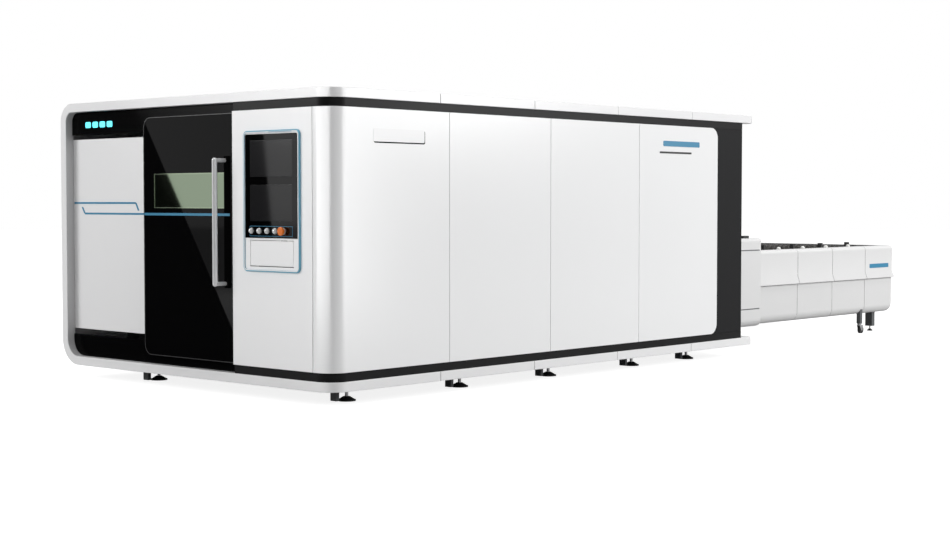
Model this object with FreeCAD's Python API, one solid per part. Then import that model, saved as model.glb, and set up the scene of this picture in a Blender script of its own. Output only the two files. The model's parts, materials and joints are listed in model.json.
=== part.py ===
import FreeCAD, Part
import math
import os

from FreeCAD import Vector

# Enclosed fiber laser cutting machine with a two-level shuttle table behind it.
# Millimetres, +Z up. The operator's sliding door faces -Y, the shuttle table lies towards +Y.
# The pieces are modelled from the front plane (y = 0), the machine's middle plane (x = 0) and
# the floor (z = 0), and are moved to the middle of the length when they are saved.

# ---- cladding: rails, dark stripes and panels --------------------------------------------
ENCLOSURE_WIDTH = 3130.0
ENCLOSURE_LENGTH = 5223.0
ENCLOSURE_HEIGHT = 2156.0
RAIL_UNDERSIDE = 97.0
RAIL_HEIGHT = 68.0
RAIL_DEPTH = 72.0
RAIL_WALL = 3.0
RAIL_FIRST_SEAM = 1072.0
RAIL_SEAM_PITCH = 1050.0
RAIL_SEAM_COUNT = 4
STRIPE_HEIGHT = 62.0
STRIPE_INSET = 12.0
STRIPE_DEPTH = 40.0
FRONT_CORNER_RADIUS = 150.0
REAR_CORNER_RADIUS = 95.0
TOP_FRAME_RADIUS = 145.0
BASE_FRAME_RADIUS = 200.0
SHEET = 2.0
SEAM_GAP = 6.0
SEAT = 0.3
OVERCUT = 1.0
PANEL_FIRST_SEAM = 1167.0
PANEL_SEAM_PITCH = 1147.0
PANEL_SEAM_COUNT = 3
WHITE_PANELS_END = 4611.0
WHITE_END_RADIUS = 90.0
CLADDING_END = 5018.0
END_PANEL_OVERLAP = 110.0
POST_WIDTH = 40.0
ROOF_BEAM_WIDTH = 60.0
ROOF_BEAM_DROP = 8.0
REAR_OPENING_HALF_WIDTH = 965.0
REAR_OPENING_BOTTOM = 470.0
REAR_OPENING_TOP = 1100.0

# ---- front: door, recess and control panel -----------------------------------------------
CONTROL_PANEL_LEFT = 547.0
CORNER_PANEL_FRONT_EDGE = 1384.0
RECESS_PANEL_BOTTOM = 380.0
RECESS_PANEL_TOP = 1874.0
RECESS_PANEL_RIGHT = -470.0
RECESS_PANEL_RETURN = 25.0
LINER_SHEET = 2.0
LINTEL_BOTTOM = 1909.0
KICK_PANEL_TOP = 335.0
LINTEL_FACE = 60.0
LINTEL_DEPTH = 35.0
LINTEL_RIGHT = 640.0
DOOR_LEFT = -514.0
DOOR_RIGHT = 607.0
DOOR_BOTTOM = 231.0
DOOR_TOP = 2018.0
DOOR_FACE = 20.0
DOOR_DEPTH = 30.0
DOOR_FACE_SHEET = 4.0
DOOR_RADIUS = 80.0
DOOR_HIDDEN_RADIUS = 10.0
WINDOW_LEFT = -389.0
WINDOW_WIDTH = 834.0
WINDOW_BOTTOM = 1337.0
WINDOW_HEIGHT = 257.0
WINDOW_LAP = 15.0
WINDOW_GLASS = 8.0
HANDLE_X = 445.0
HANDLE_BOTTOM = 780.0
HANDLE_TOP = 1698.0
HANDLE_DIAMETER = 38.0
HANDLE_STANDOFF = 96.0
HANDLE_POST_DIAMETER = 30.0
HANGER_PLACES = (-300.0, 400.0)
HANGER_WIDTH = 80.0
HANGER_PLATE = 8.0
HANGER_RUN_GAP = 6.0
TRACK_LEFT = -1480.0
TRACK_WEB = 6.0
TRACK_RAIL = (15.0, 25.0)
TRACK_RAIL_ABOVE_LINTEL = 76.0
TRACK_WEB_OVERLAP = 50.0

# ---- control console ---------------------------------------------------------------------
CONSOLE_CENTER = 975.0
CONSOLE_WIDTH = 590.0
CONSOLE_BOTTOM = 897.0
CONSOLE_HEIGHT = 982.0
CONSOLE_RADIUS = 38.0
CONSOLE_DEPTH = 110.0
BEZEL_WIDTH = 16.0
BEZEL_PROUD = 14.0
HOUSING_PROUD = 8.0
HOUSING_WALL = 4.0
GLASS_THICKNESS = 5.0
GLASS_MARGIN = 9.0
GLASS_BOTTOM = 1133.0
SCREEN_WIDTH = 440.0
SCREEN_HEIGHT = 252.0
SCREEN_CENTERS = (1376.0, 1684.0)
SCREEN_DEPTH = 34.0
SCREEN_OFFSET = 2.0
BUTTON_ROW_HEIGHT = 1182.0
BUTTON_FIRST = 771.0
BUTTON_PITCH = 83.0
BUTTON_COUNT = 4
BUTTON_HEAD = 38.0
BUTTON_STEM = 22.0
BUTTON_STEM_LENGTH = 38.0
BUTTON_DOME = 11.0
BUTTON_TRAVEL = 5.0
STOP_X = 1107.0
STOP_HEAD = 60.0
STOP_STEM = 26.0
STOP_THICKNESS = 24.0
STOP_TRAVEL = 6.0
COLLAR_THICKNESS = 3.0
COLLAR_RIM = 10.0
PRESS_ROOM = 1.5
FLAP_WIDTH = 448.0
FLAP_BOTTOM = 937.0
FLAP_HEIGHT = 177.0
FLAP_SHEET = 4.0
FLAP_GAP = 4.0
FLAP_BARREL = 12.0
FLAP_PIN = 6.0
PIN_CLEARANCE = 0.05
KEYBOARD_SIZE = (400.0, 18.0, 126.0)
KEYBOARD_FROM_HINGE = 26.0

# ---- feet --------------------------------------------------------------------------------
SIDE_FOOT_INSET = 236.0
SIDE_FOOT_PLACES = (365.0, 1527.0, 2571.0, 3676.0, 4484.0)
FRONT_FOOT = (-733.0, 314.0)
FOOT_PAD = 130.0
FOOT_PAD_RIM = 10.0
FOOT_PAD_HEIGHT = 32.0
FOOT_STUD = 24.0
FOOT_NUT = 38.0
FOOT_NUT_HEIGHT = 14.0
ANCHOR_OFFSET = 112.0
ANCHOR_SIZE = (60.0, 28.0)
ANCHOR_FLOOR_GAP = 8.0

# ---- bed and gantry ----------------------------------------------------------------------
BED_UNDERSIDE = 110.0
CROSSBAR_HEIGHT = 120.0
CROSSBAR_WIDTH = 100.0
TUBE_WALL = 6.0
BED_BEAM_INNER = 960.0
BED_BEAM_WIDTH = 160.0
BED_BEAM_TOP = 960.0
BED_START = 300.0
LEDGE_WIDTH = 80.0
GANTRY_RAIL = (34.0, 25.0)
GANTRY_RAIL_END_GAP = 200.0
RACK_SIZE = (14.0, 24.0)
GANTRY_REST = 2765.0
GANTRY_BEAM = (200.0, 220.0)
GANTRY_BEAM_BOTTOM = 1180.0
GANTRY_WALL = 10.0
GANTRY_LEG_LENGTH = 420.0
BEARING_HEIGHT = 45.0
BEARING_LENGTH = 110.0
MOTOR_SIZE = (60.0, 130.0, 200.0)
BEAM_RAIL = (25.0, 22.0)
BEAM_RAIL_INSET = 30.0
CARRIAGE_SIZE = (300.0, 20.0, 300.0)
CARRIAGE_COVER = (220.0, 60.0, 320.0)
HEAD_BODY = (96.0, 96.0, 300.0)
HEAD_BARREL = 60.0
HEAD_BARREL_LENGTH = 60.0
NOZZLE_LENGTH = 26.0
HEAD_CAP_HEIGHT = 60.0
NOZZLE_TIP = 8.0
HEAD_TIP_REST = 1062.0

# ---- cabinets inside the cladding --------------------------------------------------------
CABINET_WIDTH = 290.0
CABINET_CLEARANCE = 10.0
ELECTRICAL_CABINET = (3630.0, 4560.0, 1750.0)
LASER_SOURCE = (2525.0, 3722.0, 700.0)

# ---- pallets, tracks and shuttle table ---------------------------------------------------
PALLET_HALF_WIDTH = 780.0
PALLET_LENGTH = 3070.0
PALLET_TUBE = (60.0, 70.0)
PALLET_TUBE_WALL = 5.0
PALLET_OUTSIDE_START = 5330.0
PALLET_TRAVEL = 4100.0
PALLET_TIP = 918.0
PALLET_LEVEL_PITCH = 230.0
SLAT_HEIGHT = 88.0
SLAT_THICKNESS = 4.0
SLAT_COUNT = 28
SLAT_TOOTH_COUNT = 24
SLAT_TOOTH_DEPTH = 20.0
FRAME_BELOW_TIP = 100.0
WHEEL_DIAMETER = 80.0
WHEEL_WIDTH = 28.0
WHEEL_GAP = 20.0
AXLE_DIAMETER = 20.0
AXLE_CLEARANCE = 0.08
AXLE_HEAD = 30.0
AXLE_CAP = 2.0
AXLE_FROM_END = 300.0
TRACK_PLATE = 6.0
TRACK_PLATE_INNER = 795.0
TRACK_PLATE_OUTER = 940.0
TABLE_TRACK_END = 8560.0
BED_TRACK_START = 1150.0
CHORD_WIDTH = 80.0
CHORD_HEIGHT = 80.0
TABLE_HALF_WIDTH = 1125.0
TABLE_LOWER_INSET = 6.0
TABLE_END = 8725.0
TABLE_TOP = 915.0
TABLE_TOP_RADIUS = 38.0
TABLE_BOTTOM = 204.0
TABLE_BOTTOM_RADIUS = 85.0
TABLE_CORNER_RADIUS = 115.0
TABLE_DECK = 105.0
TABLE_SPLIT = 572.0
LEDGE_TOP = 645.0
LEDGE_DROP = 58.0
LEDGE_PROUD = 22.0
COVER_SHEET = 3.0
COVER_SEAMS = (5975.0, 6705.0, 7383.0, 8057.0)
SHROUD_PROUD = 50.0
SHROUD_TOP = 1037.0
SHROUD_BOTTOM = 195.0
SHROUD_CORNER_RADIUS = 40.0
TABLE_POSTS = (5270.0, 6250.0, 7200.0, 8014.0, 8427.0)
POST_LENGTH = 60.0
LOWER_CHORD_BOTTOM = 240.0
OUTRIGGER_HEIGHT = 30.0
CASTER_X = 1087.0
CASTER_Y = 8014.0
CASTER_COLUMN = 44.0
CASTER_HEIGHT = 104.0
CASTER_TRAIL = 24.0
CASTER_WHEEL = 78.0
CASTER_WHEEL_WIDTH = 28.0
CASTER_FORK_SHEET = 4.0
CASTER_AXLE = 10.0
CASTER_CROWN_GAP = 4.0
TABLE_FOOT_X = 985.0
TABLE_FOOT_Y = 8427.0
TABLE_FOOT_COLUMN = (80.0, 60.0)
TABLE_FOOT_COLUMN_BOTTOM = 52.0
TABLE_FOOT_PAD = 56.0
TABLE_FOOT_PAD_HEIGHT = 22.0
TABLE_FOOT_STUD = 14.0
GUIDE_X = 918.0
GUIDE_FIRST = 5760.0
GUIDE_PITCH = 460.0
GUIDE_COUNT = 6
GUIDE_DIAMETER = 44.0
GUIDE_TOP = 934.0
DRIVE_Y = 5520.0
DRIVE_SHAFT = 40.0
DRIVE_SPROCKET = 72.0
DRIVE_MOTOR = (180.0, 320.0, 160.0)
DRIVE_MOTOR_ABOVE_SHAFT = 30.0
SENSOR_SIZE = (36.0, 90.0, 24.0)
SENSOR_Y = 5770.0

# ---- values that follow from the ones above ----------------------------------------------
HALF = ENCLOSURE_WIDTH / 2
BED_END = CLADDING_END - STRIPE_DEPTH - SEAT
BASE_TOP = RAIL_UNDERSIDE + RAIL_HEIGHT
PANEL_BOTTOM = BASE_TOP + STRIPE_HEIGHT
ROOF_RAIL_BOTTOM = ENCLOSURE_HEIGHT - RAIL_HEIGHT
PANEL_TOP = ROOF_RAIL_BOTTOM - STRIPE_HEIGHT
LEFT_WALL_BOTTOM = RAIL_UNDERSIDE + BASE_FRAME_RADIUS
LEFT_WALL_TOP = ENCLOSURE_HEIGHT - TOP_FRAME_RADIUS
PANEL_DEPTH = STRIPE_INSET - SEAT
RAIL_SEAMS = [RAIL_FIRST_SEAM + RAIL_SEAM_PITCH * i for i in range(RAIL_SEAM_COUNT)]
PANEL_SEAMS = [PANEL_FIRST_SEAM + PANEL_SEAM_PITCH * i for i in range(PANEL_SEAM_COUNT)]
LINER_OFFSET = RAIL_HEIGHT + SEAT
RECESS_OFFSET = LINER_OFFSET + LINER_SHEET + SEAT
DOOR_BACK = DOOR_FACE + DOOR_DEPTH
HANDLE_Y = DOOR_FACE - HANDLE_STANDOFF
HANDLE_FRONT = HANDLE_Y - HANDLE_DIAMETER / 2
FRONT_TO_MIDDLE = (HANDLE_FRONT + TABLE_END + LEDGE_PROUD) / 2
CONSOLE_LEFT = CONSOLE_CENTER - CONSOLE_WIDTH / 2
CONSOLE_RIGHT = CONSOLE_CENTER + CONSOLE_WIDTH / 2
CONSOLE_TOP = CONSOLE_BOTTOM + CONSOLE_HEIGHT
GLASS_BACK = -HOUSING_PROUD - SEAT
GLASS_FRONT = GLASS_BACK - GLASS_THICKNESS
COLLAR_FRONT = GLASS_FRONT - SEAT - COLLAR_THICKNESS
HINGE_Y = -HOUSING_PROUD + FLAP_BARREL / 2
HINGE_Z = FLAP_BOTTOM + FLAP_BARREL / 2
CROSSBAR_TOP = BED_UNDERSIDE + CROSSBAR_HEIGHT
BED_BEAM_OUTER = BED_BEAM_INNER + BED_BEAM_WIDTH
RAIL_CENTER_X = (BED_BEAM_INNER + BED_BEAM_OUTER) / 2
WHEEL_RADIUS = WHEEL_DIAMETER / 2
FRAME_BOTTOM = PALLET_TIP - FRAME_BELOW_TIP
AXLE_HEIGHT = FRAME_BOTTOM + AXLE_DIAMETER
TRACK_TOP = AXLE_HEIGHT - WHEEL_RADIUS - SEAT
CHORD_TOP = TRACK_TOP - TRACK_PLATE
LEVELS = {"upper": 0.0, "lower": -PALLET_LEVEL_PITCH}
SIDES = {"right": 1, "left": -1}


# ---- helpers -----------------------------------------------------------------------------
def block(x, y, z):
    """A box between two corners, each range given as (low, high)."""
    size = [high - low for low, high in (x, y, z)]
    return Part.makeBox(*size, Vector(x[0], y[0], z[0]))


def around(center, size):
    return (center - size / 2, center + size / 2)


def on_side(side, inner, outer):
    """The x range of something that lies between two distances from the middle plane."""
    return (inner, outer) if side > 0 else (-outer, -inner)


def rod(diameter, start, end):
    axis = Vector(*end) - Vector(*start)
    return Part.makeCylinder(diameter / 2, axis.Length, Vector(*start), axis)


def place(plane, u, v, level):
    return {"XY": Vector(u, v, level), "XZ": Vector(u, level, v), "YZ": Vector(level, u, v)}[plane]


def outline(corners, plane, level=0.0):
    """A flat face from corners (u, v) or (u, v, radius), each radius rounded with a true arc."""
    points = [Vector(c[0], c[1], 0) for c in corners]
    radii = [c[2] if len(c) > 2 else 0.0 for c in corners]
    stretches = []
    for i, point in enumerate(points):
        back = (points[i - 1] - point).normalize()
        ahead = (points[(i + 1) % len(points)] - point).normalize()
        if radii[i] <= 0:
            stretches.append((point, None, point))
            continue
        half_angle = back.getAngle(ahead) / 2
        reach = radii[i] / math.tan(half_angle)
        bisector = (back + ahead).normalize()
        middle = point + bisector * (radii[i] / math.sin(half_angle) - radii[i])
        stretches.append((point + back * reach, middle, point + ahead * reach))

    def spot(p):
        return place(plane, p.x, p.y, level)

    edges = []
    for i, (start, middle, end) in enumerate(stretches):
        if middle is not None:
            edges.append(Part.Arc(spot(start), spot(middle), spot(end)).toShape())
        following = stretches[(i + 1) % len(stretches)][0]
        if end.distanceToPoint(following) > 1e-6:
            edges.append(Part.LineSegment(spot(end), spot(following)).toShape())
    return Part.Face(Part.Wire(edges))


def extrude(face, axis, start, end):
    direction = {"X": Vector(1, 0, 0), "Y": Vector(0, 1, 0), "Z": Vector(0, 0, 1)}[axis]
    shape = face.translated(direction * start)
    return shape.extrude(direction * (end - start))


def rounded_rectangle(u, v, radius, plane):
    corners = [(u[0], v[0], radius), (u[1], v[0], radius), (u[1], v[1], radius), (u[0], v[1], radius)]
    return outline(corners, plane)


def fuse(shapes):
    shapes = list(shapes)
    return shapes[0].multiFuse(shapes[1:]).removeSplitter() if len(shapes) > 1 else shapes[0]


def save(name, shapes):
    """Write one sub-part; a list of separate solids becomes one compound."""
    shapes = shapes if isinstance(shapes, list) else [shapes]
    solids = [solid for shape in shapes for solid in shape.Solids]
    compound = Part.makeCompound(solids) if len(solids) > 1 else solids[0]
    compound.translate(Vector(0, -FRONT_TO_MIDDLE, 0))
    compound.exportStep(f"parts/{name}.step")
    print(f"{name}: {len(solids)} solids, valid {compound.isValid()}")


def tube(x, y, z, axis, wall):
    """A rectangular tube, open at both ends along its axis."""
    ranges = {"X": x, "Y": y, "Z": z}
    inner = {}
    for name, (low, high) in ranges.items():
        inner[name] = (low - OVERCUT, high + OVERCUT) if name == axis else (low + wall, high - wall)
    return block(x, y, z).cut(block(inner["X"], inner["Y"], inner["Z"]))


def tray(face_of, axis, face, back, sheet):
    """A folded sheet panel: a face with a return on every edge, open at the back.

    face_of(inset) gives the outline, drawn in by that much; the face lies at `face`."""
    toward = 1 if back > face else -1
    skin = extrude(face_of(0), axis, *sorted((face, back)))
    hollow = extrude(face_of(sheet), axis, *sorted((face + toward * sheet, back + toward)))
    return skin.cut(hollow)


# ---- cladding ----------------------------------------------------------------------------
def corner_band(outer, inner, x_start, y_end):
    """Plan of a strip along the front, round the front right corner and along the right side."""
    radius = FRONT_CORNER_RADIUS
    return outline([(x_start, outer), (HALF - outer, outer, radius - outer), (HALF - outer, y_end),
                    (HALF - inner, y_end), (HALF - inner, inner, radius - inner), (x_start, inner)], "XY")


def rear_band(outer, inner, y_start, x_end):
    """Plan of a strip along the right side, round the rear right corner and along the rear."""
    radius = REAR_CORNER_RADIUS
    rear = ENCLOSURE_LENGTH
    return outline([(HALF - outer, y_start), (HALF - outer, rear - outer, radius - outer),
                    (x_end, rear - outer), (x_end, rear - inner),
                    (HALF - inner, rear - inner, radius - inner), (HALF - inner, y_start)], "XY")


def frame_band(outer, inner, x_end):
    """Front view of a strip along the top edge, down the left edge and back along the base."""
    top, bottom, left = ENCLOSURE_HEIGHT, RAIL_UNDERSIDE, -HALF
    high, low = TOP_FRAME_RADIUS, BASE_FRAME_RADIUS
    return outline([(x_end, top - outer), (left + outer, top - outer, high - outer),
                    (left + outer, bottom + outer, low - outer), (x_end, bottom + outer),
                    (x_end, bottom + inner), (left + inner, bottom + inner, low - inner),
                    (left + inner, top - inner, high - inner), (x_end, top - inner)], "XZ")


def left_rail_section(top, outer, inner):
    """Front view of the rounded left roof rail or left base rail."""
    radius = TOP_FRAME_RADIUS if top else BASE_FRAME_RADIUS
    edge = ENCLOSURE_HEIGHT if top else RAIL_UNDERSIDE
    inward = -1 if top else 1
    x_end = -HALF + radius
    z_end = edge + inward * radius
    return outline([(x_end, edge + inward * outer), (-HALF + outer, edge + inward * outer, radius - outer),
                    (-HALF + outer, z_end), (-HALF + inner, z_end),
                    (-HALF + inner, edge + inward * inner, radius - inner),
                    (x_end, edge + inward * inner)], "XZ")


def front_ribbon():
    """The white frame round the front: one welded channel, open towards the inside."""
    join = 0.0
    seam = RAIL_SEAMS[0] - SEAM_GAP / 2
    skin = [extrude(frame_band(0, RAIL_HEIGHT, join), "Y", 0, RAIL_DEPTH)]
    inner_band = frame_band(RAIL_WALL, RAIL_HEIGHT - RAIL_WALL, join)
    hollow = [extrude(inner_band, "Y", RAIL_WALL, RAIL_DEPTH + OVERCUT)]
    for bottom in (RAIL_UNDERSIDE, ROOF_RAIL_BOTTOM):
        skin.append(extrude(corner_band(0, RAIL_DEPTH, join, seam), "Z", bottom, bottom + RAIL_HEIGHT))
        inner = corner_band(RAIL_WALL, RAIL_DEPTH + OVERCUT, join, seam - RAIL_WALL)
        hollow.append(extrude(inner, "Z", bottom + RAIL_WALL, bottom + RAIL_HEIGHT - RAIL_WALL))
    return fuse(skin).cut(fuse(hollow))


def ribbon_segments(top):
    """The rails behind the front ribbon: straight lengths, the rear corner, and the left side."""
    bottom = ROOF_RAIL_BOTTOM if top else RAIL_UNDERSIDE
    z_inner = (bottom + RAIL_WALL, bottom + RAIL_HEIGHT - RAIL_WALL)
    segments = []
    for start, end in zip(RAIL_SEAMS, RAIL_SEAMS[1:]):
        y = (start + SEAM_GAP / 2, end - SEAM_GAP / 2)
        skin = block((HALF - RAIL_DEPTH, HALF), y, (bottom, bottom + RAIL_HEIGHT))
        hollow_y = (y[0] + RAIL_WALL, y[1] - RAIL_WALL)
        hollow = block((HALF - RAIL_DEPTH - OVERCUT, HALF - RAIL_WALL), hollow_y, z_inner)
        segments.append(skin.cut(hollow))
    radius = TOP_FRAME_RADIUS if top else BASE_FRAME_RADIUS
    y_start = RAIL_SEAMS[-1] + SEAM_GAP / 2
    x_end = -HALF + radius + SEAT
    skin = extrude(rear_band(0, RAIL_DEPTH, y_start, x_end), "Z", bottom, bottom + RAIL_HEIGHT)
    inner = rear_band(RAIL_WALL, RAIL_DEPTH + OVERCUT, y_start + RAIL_WALL, x_end + RAIL_WALL)
    segments.append(skin.cut(extrude(inner, "Z", *z_inner)))
    starts = [RAIL_DEPTH + SEAT] + [seam + SEAM_GAP / 2 for seam in RAIL_SEAMS]
    ends = [seam - SEAM_GAP / 2 for seam in RAIL_SEAMS] + [ENCLOSURE_LENGTH]
    edge, inward = (ENCLOSURE_HEIGHT, -1) if top else (RAIL_UNDERSIDE, 1)
    within = sorted((edge, edge + inward * (radius - RAIL_WALL)))
    for start, end in zip(starts, ends):
        skin = extrude(left_rail_section(top, 0, RAIL_HEIGHT), "Y", start, end)
        y = (start + RAIL_WALL, end - RAIL_WALL)
        hollow = extrude(left_rail_section(top, RAIL_WALL, RAIL_HEIGHT + OVERCUT), "Y", *y)
        hollow = hollow.common(block((-HALF, -HALF + radius - RAIL_WALL), y, within))
        segments.append(skin.cut(hollow))
    return segments


def stripe_channels():
    """The recessed dark channels above and below the panels."""
    channels = []
    depth = STRIPE_INSET + STRIPE_DEPTH
    for bottom, top in ((BASE_TOP, PANEL_BOTTOM), (PANEL_TOP, ROOF_RAIL_BOTTOM)):
        skin_face = corner_band(STRIPE_INSET, depth, CONTROL_PANEL_LEFT, CLADDING_END)
        inner_face = corner_band(STRIPE_INSET + SHEET, depth + OVERCUT, CONTROL_PANEL_LEFT + SHEET,
                                 CLADDING_END - SHEET)
        skin = extrude(skin_face, "Z", bottom + SEAT, top - SEAT)
        channels.append(skin.cut(extrude(inner_face, "Z", bottom + SEAT + SHEET, top - SEAT - SHEET)))
    return channels


def cladding_posts():
    """Square tubes that carry the panels at their seams, and the jamb beside the doorway."""
    posts = []
    depth = (STRIPE_INSET + SEAT, STRIPE_INSET + STRIPE_DEPTH)
    for side, bottom, top in ((1, PANEL_BOTTOM, PANEL_TOP), (-1, LEFT_WALL_BOTTOM, LEFT_WALL_TOP)):
        z = (bottom + SEAT, top - SEAT)
        for seam in PANEL_SEAMS:
            x = on_side(side, HALF - depth[1], HALF - depth[0])
            posts.append(tube(x, around(seam, POST_WIDTH), z, "Z", RAIL_WALL))
    z = (PANEL_BOTTOM + SEAT, PANEL_TOP - SEAT)
    posts.append(tube(around(CORNER_PANEL_FRONT_EDGE, POST_WIDTH), depth, z, "Z", RAIL_WALL))
    jamb_x = (LINTEL_RIGHT + SEAT, LINTEL_RIGHT + SEAT + POST_WIDTH)
    jamb_y = (LINTEL_FACE, LINTEL_FACE + POST_WIDTH)
    posts.append(tube(jamb_x, jamb_y, (BASE_TOP + SEAT, ROOF_RAIL_BOTTOM - SEAT), "Z", RAIL_WALL))
    return posts


def corner_panel():
    """One sheet rolled round the front right corner, with its edges folded back."""
    x_start = CORNER_PANEL_FRONT_EDGE + SEAM_GAP / 2
    y_end = PANEL_SEAMS[0] - SEAM_GAP / 2
    z = (PANEL_BOTTOM + SEAT, PANEL_TOP - SEAT)
    skin = extrude(corner_band(0, PANEL_DEPTH, x_start, y_end), "Z", *z)
    inner = corner_band(SHEET, PANEL_DEPTH + OVERCUT, x_start + SHEET, y_end - SHEET)
    return skin.cut(extrude(inner, "Z", z[0] + SHEET, z[1] - SHEET))


def wall_panel(side, y, z, end_radius, face_inset, depth):
    """A side wall panel; end_radius rounds its two rear corners."""
    def face_of(inset):
        y0, y1 = y[0] + inset, y[1] - inset
        z0, z1 = z[0] + inset, z[1] - inset
        radius = max(end_radius - inset, 0)
        return outline([(y0, z0), (y1, z0, radius), (y1, z1, radius), (y0, z1)], "YZ")
    face = side * (HALF - face_inset)
    return tray(face_of, "X", face, face - side * depth, SHEET)


def side_panels(side):
    bottom, top = (PANEL_BOTTOM, PANEL_TOP) if side > 0 else (LEFT_WALL_BOTTOM, LEFT_WALL_TOP)
    z = (bottom + SEAT, top - SEAT)
    seams = PANEL_SEAMS if side > 0 else [RAIL_DEPTH - SEAM_GAP / 2 + SEAT] + PANEL_SEAMS
    ends = seams[1:] + [WHITE_PANELS_END + SEAM_GAP / 2]
    panels = []
    for start, end in zip(seams, ends):
        radius = WHITE_END_RADIUS if end > WHITE_PANELS_END else 0
        y = (start + SEAM_GAP / 2, end - SEAM_GAP / 2)
        panels.append(wall_panel(side, y, z, radius, 0, PANEL_DEPTH))
    return panels


def end_panels():
    """The dark panels behind the white ones; the white sheets lie over their front edge."""
    y = (WHITE_PANELS_END - END_PANEL_OVERLAP, CLADDING_END)
    right = wall_panel(1, y, (PANEL_BOTTOM + SEAT, PANEL_TOP - SEAT), 0, STRIPE_INSET, STRIPE_DEPTH)
    left_z = (LEFT_WALL_BOTTOM + SEAT, LEFT_WALL_TOP - SEAT)
    left = wall_panel(-1, y, left_z, 0, STRIPE_INSET, RAIL_HEIGHT - STRIPE_INSET)
    return [right, left]


def rear_panel():
    """The rear wall, with the opening that the pallets pass through."""
    half = HALF - STRIPE_INSET - STRIPE_DEPTH - SEAT
    left_edge = RAIL_HEIGHT + SEAT - HALF
    bottom, top = BASE_TOP + SEAT, ROOF_RAIL_BOTTOM - SEAT
    opening_x = (-REAR_OPENING_HALF_WIDTH, REAR_OPENING_HALF_WIDTH)
    opening_z = (REAR_OPENING_BOTTOM, REAR_OPENING_TOP)
    low_cut = BASE_FRAME_RADIUS - RAIL_HEIGHT
    high_cut = TOP_FRAME_RADIUS - RAIL_HEIGHT

    def face_of(inset):
        left = left_edge + inset
        return outline([(left, bottom + inset, low_cut - inset), (half - inset, bottom + inset),
                        (half - inset, top - inset), (left, top - inset, high_cut - inset)], "XZ")
    panel = tray(face_of, "Y", CLADDING_END, CLADDING_END - STRIPE_DEPTH, SHEET)
    collar = block([x + s * SHEET for x, s in zip(opening_x, (-1, 1))],
                   (CLADDING_END - STRIPE_DEPTH, CLADDING_END),
                   [z + s * SHEET for z, s in zip(opening_z, (-1, 1))])
    opening = block(opening_x, (CLADDING_END - STRIPE_DEPTH - OVERCUT, CLADDING_END + OVERCUT), opening_z)
    return panel.fuse(collar).cut(opening).removeSplitter()


def roof_beam_places():
    before_seam = SEAM_GAP + RAIL_WALL + ROOF_BEAM_WIDTH / 2
    front = FRONT_CORNER_RADIUS + ROOF_BEAM_WIDTH / 2
    return [front] + [seam - before_seam for seam in RAIL_SEAMS] + [CLADDING_END - before_seam]


def roof_beams():
    x = (-HALF + TOP_FRAME_RADIUS + SEAT, HALF - RAIL_WALL - SEAT)
    z = (ROOF_RAIL_BOTTOM + RAIL_WALL + SEAT, ENCLOSURE_HEIGHT - ROOF_BEAM_DROP)
    return [tube(x, around(y, ROOF_BEAM_WIDTH), z, "X", RAIL_WALL) for y in roof_beam_places()]


def roof_panels():
    x = (-HALF + TOP_FRAME_RADIUS + SEAT, HALF - RAIL_DEPTH - SEAT)
    z = (ENCLOSURE_HEIGHT - ROOF_BEAM_DROP + SEAT, ENCLOSURE_HEIGHT - ROOF_BEAM_DROP + SEAT + SHEET)
    edges = [RAIL_DEPTH + SEAT] + RAIL_SEAMS + [ENCLOSURE_LENGTH - RAIL_DEPTH - SEAT]
    panels = []
    for i, (start, end) in enumerate(zip(edges, edges[1:])):
        y0 = start if i == 0 else start + SEAM_GAP / 2
        y1 = end if i == len(edges) - 2 else end - SEAM_GAP / 2
        panels.append(block(x, (y0, y1), z))
    return panels


# ---- front -------------------------------------------------------------------------------
def recess_liner():
    """The grey folded strip that lines the inside of the ribbon's left end."""
    x_end = -HALF + BASE_FRAME_RADIUS
    face = frame_band(LINER_OFFSET, LINER_OFFSET + LINER_SHEET, x_end)
    return extrude(face, "Y", RAIL_WALL, RAIL_DEPTH - RAIL_WALL)


def recess_panel():
    left = -HALF + RAIL_HEIGHT - RAIL_WALL

    def face_of(inset):
        return outline([(left + inset, RECESS_PANEL_BOTTOM + inset), (RECESS_PANEL_RIGHT - inset,
                       RECESS_PANEL_BOTTOM + inset), (RECESS_PANEL_RIGHT - inset, RECESS_PANEL_TOP - inset),
                       (left + inset, RECESS_PANEL_TOP - inset)], "XZ")
    return tray(face_of, "Y", RAIL_DEPTH + SEAT, RAIL_DEPTH + SEAT + RECESS_PANEL_RETURN, SHEET)


def lintel():
    """The dark panel above the doorway, with its corner rounded inside the ribbon."""
    left, top = -HALF + RECESS_OFFSET, ENCLOSURE_HEIGHT - RECESS_OFFSET
    radius = TOP_FRAME_RADIUS - RECESS_OFFSET

    def face_of(inset):
        x0, x1 = left + inset, LINTEL_RIGHT - inset
        z0, z1 = LINTEL_BOTTOM + inset, top - inset
        return outline([(x0, z0), (x1, z0), (x1, z1), (x0, z1, radius - inset)], "XZ")
    return tray(face_of, "Y", LINTEL_FACE, LINTEL_FACE + LINTEL_DEPTH, SHEET)


def kick_panel():
    """The dark panel below the doorway, with its corner rounded inside the ribbon."""
    left, bottom = -HALF + RECESS_OFFSET, RAIL_UNDERSIDE + RECESS_OFFSET
    radius = BASE_FRAME_RADIUS - RECESS_OFFSET

    def face_of(inset):
        x0, x1 = left + inset, LINTEL_RIGHT - inset
        z0, z1 = bottom + inset, KICK_PANEL_TOP - inset
        return outline([(x0, z0, radius - inset), (x1, z0), (x1, z1), (x0, z1)], "XZ")
    return tray(face_of, "Y", LINTEL_FACE, LINTEL_FACE + LINTEL_DEPTH, SHEET)


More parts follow.
